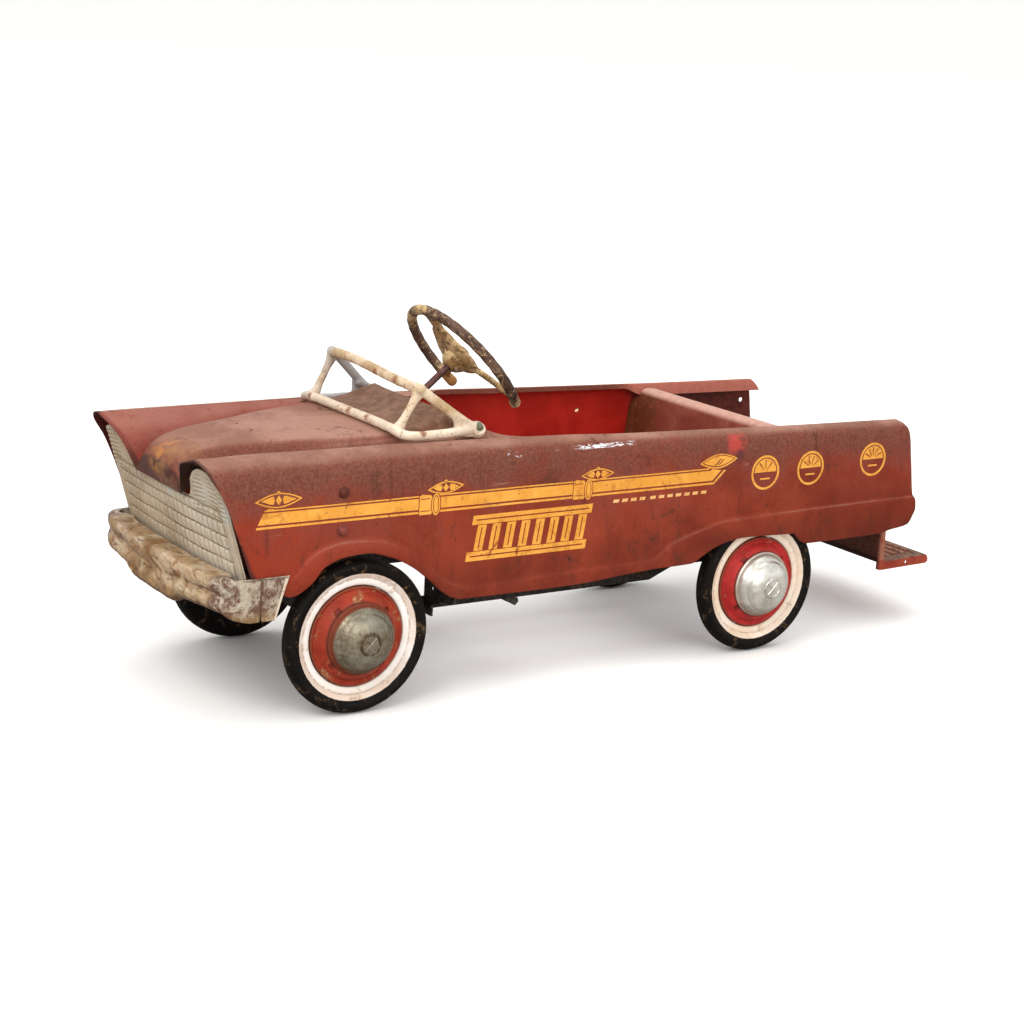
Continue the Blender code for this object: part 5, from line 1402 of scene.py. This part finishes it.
def build_wheel(corner, body):
    sign = 1 if corner.endswith("left") else -1
    rear = corner.startswith("rear")
    face = REAR_FACE_X if rear else FRONT_FACE_X
    hub = np.array([0, AXLE_Y if rear else -AXLE_Y, AXLE_Z])
    axis = np.array([sign, 0, 0], float)

    verts, faces, r, h, _ = turned(placed(finer(TYRE, 3), face), hub, axis, 120)
    mesh_object(f"tyre_{corner}_rubber", verts, faces, TYRES[corner], "tyre_rubber",
                f"tyre_{corner}", 60, body, {"rad": r / 100, "out": (h - face) / 100})

    def pressed(radius, distance, angle):
        """Sinks the slots into the disc."""
        gap = slot_distance(angle)
        depth = 2.2 * max(0.0, 1 - (gap / 5.0) ** 4) if gap < 5.0 else 0.0
        return radius, distance - depth * (43.0 < radius < 49.5 and distance - face > -4)

    profile = placed([*finer(DISC_FACE[:11], 4), *DISC_BACK], face)
    verts, faces, r, h, angle = turned(profile, hub, axis, 160, pressed)
    in_slot = (slot_distance(angle) < 4.8) & (r > 43.0) & (r < 49.3) & (h - face > -4)
    mesh_object(f"wheel_{corner}_disc", verts, faces, DISCS[corner], "wheel_red",
                f"wheel_disc_{corner}", 55, body,
                {"rad": r / 100, "slot": in_slot.astype(float)})

    verts, faces, r, *_ = turned(placed([*CAP_BACK, *finer(CAP, 3)], face), hub, axis, 112)
    low = np.clip((AXLE_Z - 6 - verts[:, 2]) / 30.0, 0, 1) * np.clip((r - 20) / 20, 0, 1)
    mesh_object(f"hubcap_{corner}_dome", verts, faces, CAPS[corner], "dull_chrome",
                f"hubcap_{corner}", 55, body, {"rad": r / 100, "low": low})

    # a plain four-armed cross inside the centre ring
    arms = []
    centre = hub + axis * (face + 27.55)
    for degrees in (45.0, 135.0):
        t = math.radians(degrees)
        reach = np.array([0, math.cos(t), math.sin(t)]) * 10.6
        arms.append(capped([centre - reach, centre, centre + reach], (1.0, 0.8), 10, (1, 0, 0)))
    verts, faces = together(arms)
    mesh_object(f"hubcap_{corner}_cross", verts, faces, CAPS[corner], "dull_chrome", None, 55,
                body, {"rad": np.full(len(verts), 0.08), "low": np.zeros(len(verts))})


for corner, body in BODY_OF.items():
    build_wheel(corner, body)


# ------------------------------------------------------------------ steering
def on_column(x, up, out):
    """Point from the hub: across, up in the wheel's plane, and out along the column."""
    return COLUMN_HUB + X * x + COLUMN_UP * up + COLUMN_AXIS * out


def on_rim(angle):
    return on_column(RIM_R * math.sin(angle), RIM_R * math.cos(angle) - RIM_DROP, 0.0)


def boss_plate():
    """Shield-shaped boss, stacked from scaled copies of one outline."""
    right = [(0, 52), (13, 50), (19, 40), (26, 28), (34, 12), (38, -4), (33, -17), (18, -24),
             (0, -27)]
    loop = right + [(-x, up) for x, up in right[-2:0:-1]]
    outline = finer(loop + [loop[0]], 4)[:-1]
    # distance along the column and scale
    levels = [(-7.0, 0.62), (-5.6, 0.86), (-2.5, 1.0), (0.8, 0.98), (3.0, 0.88), (4.6, 0.66),
              (5.6, 0.36)]
    centre = np.array([0.0, 4.0])
    verts = [on_column(*(centre + (point - centre) * scale), out)
             for out, scale in levels for point in outline]
    quads, caps = loft_faces(len(levels), len(outline))
    return np.array(verts), quads + caps


rim_angles = np.radians(np.linspace(-RIM_END, RIM_END, 181))
rim_thick = 6.9 + 0.25 * np.cos(rim_angles * 30)
parts = [capped([on_rim(q) for q in rim_angles],
                np.stack([rim_thick, rim_thick * 0.96], -1), 22),
         boss_plate(),
         turned([(0, -20), (9, -20), (13, -17), (17.5, -11), (21, -4), (22, 0), (0, 0)],
                COLUMN_HUB, COLUMN_AXIS, 36)[:2]]
spoke = [on_column(0, up, 0.4) for up in np.linspace(28, RIM_R - RIM_DROP - 1, 14)]
width = np.linspace(12.5, 10.5, 14)
width[-4:] += [1.0, 2.5, 4.5, 7.0]
parts.append(bar(spoke, np.stack([width, np.full(14, 4.2)], -1), 18, hint=X))
for sign in (1, -1):
    start = on_column(sign * 12, -12, 0.5)
    end = on_rim(math.radians(RIM_END - 7) * sign)
    t = np.linspace(0, 1, 18)[:, None]
    bow = on_column(0, 5.0, 0) - COLUMN_HUB
    width = np.interp(t[:, 0], [0, 0.2, 0.7, 1.0], [9.5, 6.4, 5.0, 6.0])
    parts.append(bar(start + (end - start) * t + bow * (np.sin(np.pi * t) * 0.6),
                     np.stack([width, np.full(18, 3.9)], -1), 16, hint=COLUMN_UP))
    parts.append(turned([(0, -7.2), (4.6, -6.0), (7.0, -2.6), (7.3, 0), (7.0, 2.6), (4.6, 6.0),
                         (0, 7.2)], on_rim(math.radians(RIM_END * sign)), COLUMN_AXIS, 24)[:2])


def wheel_wear(points):
    from_hub = points - COLUMN_HUB
    x, up = from_hub @ X, from_hub @ COLUMN_UP
    radius = np.hypot(x, up + RIM_DROP)
    angle = np.degrees(np.arctan2(x, up + RIM_DROP))
    inner = 1 - smooth(76, 84, radius)
    top = smooth(-70, -40, angle) * (1 - smooth(0, 16, angle)) * 0.62
    ends = smooth(92, 116, np.abs(angle)) * 0.60
    return {"tan": np.clip(np.maximum(inner * 0.95, np.maximum(top, ends)), 0, 1),
            "orange": smooth(-104, -116, angle) * smooth(60, 74, radius)}


cast("steering_wheel_moulding", parts, 1.35, 5, PLASTIC, "steering_wheel",
     [pin(COLUMN_R + 0.35, -60, 40, COLUMN_HUB, COLUMN_AXIS, 28)], "steering", wheel_wear)

BEND, ROD_FOOT = 9.0, -308
bend_angles = np.linspace(0.2, math.pi / 2, 7)
rod = [on_column(0, 0, 7.5), on_column(0, 0, ROD_FOOT + BEND)]
rod += [on_column(0, -BEND * (1 - math.cos(q)), ROD_FOOT + BEND - BEND * math.sin(q))
        for q in bend_angles]
rod += [on_column(0, -COLUMN_CRANK + BEND, ROD_FOOT)]
rod += [on_column(0, -COLUMN_CRANK + BEND - BEND * math.sin(q),
                  ROD_FOOT - BEND * (1 - math.cos(q))) for q in bend_angles]
rod += [on_column(0, -COLUMN_CRANK, -329)]
mesh_object("steering_rod", *bar(rod, (COLUMN_R, COLUMN_R), 24), COLUMN, "dark_steel",
            "steering_column", 45, "steering")


def six_flats(radius, distance, angle):
    if 8 < radius and distance < 12:
        radius = radius * (1 - 0.09 * (0.5 - 0.5 * math.cos(6 * angle)))
    return radius, distance


lathe("steering_cap_nut", [(0, 7.7), (8.2, 7.7), (8.6, 8.2), (8.6, 11.0), (7.8, 11.8),
                           (6.4, 12.4), (4.6, 12.9), (2.4, 13.2), (0, 13.3)],
      COLUMN_HUB, COLUMN_AXIS, BRASS, "dull_chrome", "steering_nut", 36, six_flats, "steering")

# ------------------------------------------------------------------ rear axle and ironwork
# x and rise of the left half; the right half's crank points down
CRANK = [(196, 0), (64, 0), (60, 1.5), (58, 6), (58, 22), (56.5, 26.5), (52, 28), (40, 28),
         (35.5, 26.5), (34, 22), (34, 6), (32.5, 1.5), (28, 0)]
crank = CRANK + [(0, 0)] + [(-x, -rise) for x, rise in CRANK[::-1]]
mesh_object("cranked_rear_axle",
            *bar([(x, AXLE_Y, AXLE_Z + rise) for x, rise in crank], (5.0, 5.0), 24,
                 hint=(0, 1, 0)),
            DARK, "dark_steel", "rear_axle", 50, "rear_drive")

# the remaining ironwork keeps its shape, with its edges eased and its own finish
EASED = (
    (DARK, """chassis_rail_left chassis_rail_right front_axle_beam axle_post_left
        axle_post_right front_body_hanger column_strut pedal_shaft rear_post_left
        rear_post_right sill_bracket_left sill_bracket_right rear_crossmember spindle_left
        spindle_right tie_rod drive_rod_left drive_rod_right pedal_arm_left pedal_arm_right"""),
    (FITTING, "rear_bearing_left rear_bearing_right"),
    (PEDAL, "pedal_left pedal_right"),
    (SEAT, "dash_panel"),
)
for material, names in EASED:
    for name in names.split():
        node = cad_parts[name]
        for slot in node.material_slots:
            slot.material = material
        ease = node.modifiers.new("eased_edges", "BEVEL")
        ease.width = 0.0007
        ease.segments = 2
        ease.limit_method = "ANGLE"
        ease.angle_limit = math.radians(35)
        ease.harden_normals = False


# ------------------------------------------------------------------ printed markings
def wall_points(flat):
    """Points of the outer side surface at (y, z)."""
    y, z = flat[:, 0], flat[:, 1]
    table = side_section(y, np.linspace(5, 9, 60))
    out = np.empty((len(y), 3))
    for k in range(len(y)):
        out[k] = (np.interp(z[k], table[::-1, k, 1], table[::-1, k, 0]), y[k], z[k])
    out[:, 0] += dent(y, z)
    return out


def filled(name, shapes):
    """Flat mesh filling the outlines; outlines inside others are holes."""
    data = bpy.data.curves.new(name, "CURVE")
    data.dimensions = "2D"
    data.fill_mode = "BOTH"
    for shape in shapes:
        spline = data.splines.new("POLY")
        spline.points.add(len(shape) - 1)
        for point, (y, z) in zip(spline.points, shape):
            point.co = (y, z, 0, 1)
        spline.use_cyclic_u = True
    holder = link_object(name, data)
    flat = evaluated_mesh(holder)
    bpy.data.objects.remove(holder)
    return flat


def marking(name, shapes, material, lift=0.22):
    """Thin printed film on both sides of the body from (y, z) outlines."""
    flat = filled(name, shapes)
    bm = bmesh.new()
    bm.from_mesh(flat)
    bmesh.ops.remove_doubles(bm, verts=bm.verts, dist=0.01)
    low = [min(v.co[i] for v in bm.verts) for i in (0, 1)]
    high = [max(v.co[i] for v in bm.verts) for i in (0, 1)]
    # cut into small cells so that the film follows the curved wall
    for i, size in ((0, 12.0), (1, 9.0)):
        normal = (1, 0, 0) if i == 0 else (0, 1, 0)
        for at in np.arange(math.floor(low[i] / size) * size, high[i], size):
            bmesh.ops.bisect_plane(bm, geom=bm.verts[:] + bm.edges[:] + bm.faces[:],
                                   plane_co=[at * n for n in normal], plane_no=normal)
    bmesh.ops.triangulate(bm, faces=bm.faces[:])
    bm.verts.index_update()
    points = wall_points(np.array([(v.co[0], v.co[1]) for v in bm.verts]))
    count = len(points)
    tris = [tuple(v.index for v in f.verts) for f in bm.faces]
    border = [tuple(v.index for v in e.verts) for e in bm.edges if len(e.link_faces) == 1]
    bm.free()
    faces = (tris + [tuple(i + count for i in t[::-1]) for t in tris]
             + [(a, b, b + count, a + count) for a, b in border])
    for side, sign in SIDES:
        verts = np.concatenate([points + X * lift, points - X * 0.35]) * [sign, 1.0, 1.0]
        mesh_object(f"{name}_{side}", verts, faces, material, "body_red", sharp=30)


def oval(y, z, half_y, half_z, sweep=360.0, count=44):
    turns = np.radians(np.linspace(0.0, sweep, count, endpoint=sweep < 360))
    return [(y + half_y * math.cos(t), z + half_z * math.sin(t)) for t in turns]


def leaf(y, z, half, tall, tilt=0.0, count=22):
    """Pointed oval."""
    t = np.linspace(-1, 1, count)
    up = [(half * q, tall * (1 - abs(q) ** 1.8)) for q in t]
    down = [(half * q, -tall * (1 - abs(q) ** 1.8)) for q in t[::-1]][1:-1]
    c, s = math.cos(tilt), math.sin(tilt)
    return [(y + a * c - b * s, z + a * s + b * c) for a, b in up + down]


def box(y_low, y_high, z_low, z_high):
    return [(y_low, z_low), (y_high, z_low), (y_high, z_high), (y_low, z_high)]


# the hose: a broad band between two fine lines, broken by the couplings
RING_Z, RING_HALF_Y, RING_HALF_Z = 250.9, 7.2, 14.4
RING_Y = (-210.5, 10.5)
HOSE_STOPS = (-234.6, -13.6)
# z range of each line, and its outline at the back end
HOSE_LINES = [
    (246.2, 259.6, [(206.5, 246.2), (220.5, 259.2), (216, 259.9), (210, 260.9), (205.2, 262.2),
                    (203.2, 259.6)]),
    (241.2, 243.9, [(210, 241.2), (228.6, 258.9), (224.8, 258.9), (208.6, 243.9)]),
    (261.4, 263.1, [(200.4, 261.4), (202.4, 263.6), (200.8, 264.3), (199.4, 263.1)]),
]


def flank(y, z_from, z_to, side):
    """Part of a coupling ring's outline between two heights."""
    return [(y + side * RING_HALF_Y * math.sqrt(max(0.0, 1 - ((z - RING_Z) / RING_HALF_Z) ** 2)),
             z) for z in np.linspace(z_from, z_to, 9)]


hose = []
for start, stop in zip((None, *RING_Y), (*HOSE_STOPS, None)):
    for z_low, z_high, tail_end in HOSE_LINES:
        if start is None:
            front = [(-444.0 + (z - 246.2) * 0.5, z) for z in (z_high, z_low)]
        else:
            front = flank(start, z_high, z_low, 1)
        hose.append(front + (tail_end if stop is None else [(stop, z_low), (stop, z_high)]))
marking("marking_hose", hose, YELLOW)

couplings = []
for ring_y, stop in zip(RING_Y, HOSE_STOPS):
    a, b = stop + 1.2, ring_y - 6.9
    couplings.append([(a, 239.4), (b, 239.4)] + flank(ring_y, 241.2, 260.4, -1)
                     + [(b, 262.6), (a + 4.5, 264.2), (a, 262.6)])
    couplings.append(box(a + 1.6, b - 1.6, 243.4, 244.5))
    couplings.append(box(a + 1.6, b - 1.6, 258.2, 259.3))
    couplings += [oval(ring_y, RING_Z, *halves)
                  for halves in ((6.0, 13.2), (4.1, 11.2), (3.1, 10.0))]
marking("marking_couplings", couplings, YELLOW)

# valve handles over the couplings and the front end: y, z, half length, half height, tilt
handles = []
for y, z, reach, tall, tilt in ((-197.5, 270.6, 25.5, 7.6, 0.06), (23.5, 269.2, 25.5, 7.4, 0.02),
                                (-418, 273.6, 30.0, 8.8, 0.02)):
    handles.append(leaf(y, z, reach, tall, tilt))
    handles.append(leaf(y, z, reach - 3.6, tall - 1.5, tilt))
    # two wings either side of a diamond, with a small knob on top
    wing = [(5.0, 0.6), (6.6, tall * 0.58), (11.0, tall * 0.47), (reach - 7.5, 0.4),
            (11.5, -tall * 0.42), (6.6, -tall * 0.52)]
    for sign in (1, -1):
        handles.append([(y + sign * dy, z + dz) for dy, dz in wing[::sign]])
    handles.append([(y, z + tall * 0.68), (y - 3.9, z), (y, z - tall * 0.66), (y + 3.9, z)])
    handles.append(oval(y, z + tall + 0.5, 2.0, 1.5, count=16))
handles.append([(-434, 262.2), (-426.5, 262.2), (-423.2, 264.0), (-431.5, 264.8)])
marking("marking_handles", handles, YELLOW)

nozzle = [leaf(216.0, z, half, tall, 0.06)
          for z, half, tall in ((271.4, 31.0, 9.6), (271.6, 27.4, 7.9), (271.8, 25.0, 6.6))]
nozzle += [[(209.0, 266.4), (218.0, 274.4), (221.0, 274.4), (212.0, 266.4)],
           [(215.0, 266.6), (223.0, 273.6), (225.4, 273.4), (217.6, 266.6)]]
marking("marking_nozzle", nozzle, YELLOW, 0.26)


# a ladder leaning back towards the top
def slanted(*limits):
    return [(y + (z - 175.0) * (9.0 / 57.0), z) for y, z in box(*limits)]


rails = [slanted(-166, 10, 175, 186.5), slanted(-166, 10, 220.5, 232)]
rails += [slanted(-161, 5, z, z + 1.7) for z in (179.9, 225.4)]
marking("marking_ladder_rails", rails, YELLOW)
rungs = []
for k in range(8):
    y = -157 + 21.2 * k
    rungs += [slanted(y, y + 12.5, 187.4, 219.6), slanted(y + 5.4, y + 7.1, 190.4, 216.6)]
marking("marking_ladder_rungs", rungs, YELLOW)

dashes = []
for k in range(11):
    y = 50 + 13.6 * k + (3 if k > 3 else 0)
    dashes.append([(y, 229.9), (y + 8.6, 229.9), (y + 9.4, 233.9), (y + 0.8, 233.9)])
marking("marking_dashes", dashes, PALE)

# roundels, each with a half disc cut by rays over a short bar: y, z, ray angles
ROUNDELS = ((296.0, 250.0, (50, 90, 130)), (374.0, 250.3, (36, 72, 108, 144)),
            (486.2, 253.8, (30, 60, 90, 120, 150)))
for k, (y, z, rays) in enumerate(ROUNDELS):
    marking(f"marking_roundel_{k}", [oval(y, z, r, r, count=64) for r in (23.4, 20.2)], YELLOW)
    icon = [oval(y, z + 0.5, 18.2, 18.2, sweep=180, count=30)]
    for degrees in rays:
        t = math.radians(degrees)
        out, side = np.array([math.cos(t), math.sin(t)]), np.array([-math.sin(t), math.cos(t)])
        icon.append([tuple(np.array([y, z + 0.5]) + out * reach + side * width)
                     for reach, width in ((4.5, -0.5), (16.4, -1.0), (16.4, 1.0), (4.5, 0.5))])
    icon.append(box(y - 8, y + 8, z - 9.6, z - 7.4))
    marking(f"marking_icon_{k}", icon, YELLOW)


# ------------------------------------------------------------------ floor, light, camera
def floor_paint():
    """Near white to the camera, glowing with distance; darker to other rays."""
    paint = Paint("pale_floor")
    grain = paint.noise(6.0, detail=3, rough=0.5)
    camera_ray = paint.node("ShaderNodeLightPath", {}, "Is Camera Ray")
    seen = paint.mix(grain, (0.95, 0.95, 0.945), (0.975, 0.975, 0.97))
    paint.base(camera_ray, (0.42, 0.40, 0.385), seen)
    away = paint.node("ShaderNodeVectorMath", {0: paint.where}, "Value", operation="LENGTH")
    inputs = paint.surface.inputs
    paint.put(inputs["Emission Color"], (1.0, 1.0, 1.0))
    paint.put(inputs["Emission Strength"], camera_ray * away.ramp(0.9, 3.2, high=0.35))
    return paint.finish(rough=0.9, specular=0.0)


floor_material = floor_paint()
FLOOR_HALF, FLOOR_Z = 30, -0.0006       # metres
floor_mesh = plain_mesh("floor", [(x * FLOOR_HALF, y * FLOOR_HALF, FLOOR_Z) for x, y in
                                  ((-1, -1), (1, -1), (1, 1), (-1, 1))], [(0, 1, 2, 3)])
floor_mesh.materials.append(floor_material)
link_object("floor", floor_mesh)

world = bpy.data.worlds.new("studio")
scene.world = world
world.use_nodes = True
world_nodes, world_links = world.node_tree.nodes, world.node_tree.links
sky = world_nodes["Background"]
ray = world_nodes.new("ShaderNodeLightPath")
strength = world_nodes.new("ShaderNodeMapRange")
strength.inputs["To Min"].default_value = 0.95      # as a light
strength.inputs["To Max"].default_value = 1.0       # as seen by the camera
world_links.new(ray.outputs["Is Camera Ray"], strength.inputs["Value"])
world_links.new(strength.outputs[0], sky.inputs[1])
sky.inputs[0].default_value = (1.0, 0.995, 0.985, 1.0)


def lamp(name, size, power, at, target=(0, 0, 0.2), colour=(1.0, 0.97, 0.93)):
    data = bpy.data.lights.new(name, "AREA")
    data.size = size
    data.energy = power
    data.color = colour
    obj = link_object(name, data)
    obj.location = at
    obj.rotation_euler = (Vector(target) - Vector(at)).to_track_quat("-Z", "Y").to_euler()


lamp("key", size=2.0, power=60.0, at=(1.1, -2.5, 2.6))
lamp("overhead", size=3.0, power=36.0, at=(-0.6, 0.6, 3.2), colour=(1.0, 0.985, 0.96))
lamp("side", size=2.2, power=40.0, at=(3.2, -0.4, 1.3))

scene.view_settings.view_transform = "Standard"
scene.view_settings.look = "None"

CAMERA_AT = (2.1708, -1.4836, 0.8207)
YAW, PITCH, ROLL = 0.99, 0.242, 0.053       # radians: turned left of +Y, looking down, tilted
camera = bpy.data.cameras.new("camera")
camera.lens = 70.63
camera.sensor_width = 36.0
camera.clip_end = 100.0
eye = link_object("camera", camera)
forward = np.array([-math.sin(YAW) * math.cos(PITCH), math.cos(YAW) * math.cos(PITCH),
                    -math.sin(PITCH)])
level = np.array([math.cos(YAW), math.sin(YAW), 0.0])
upright = np.cross(level, forward)
right = level * math.cos(ROLL) + upright * math.sin(ROLL)
up = -level * math.sin(ROLL) + upright * math.cos(ROLL)
eye.matrix_world = Matrix([*zip(right, up, -forward, CAMERA_AT), (0, 0, 0, 1)])
scene.camera = eye
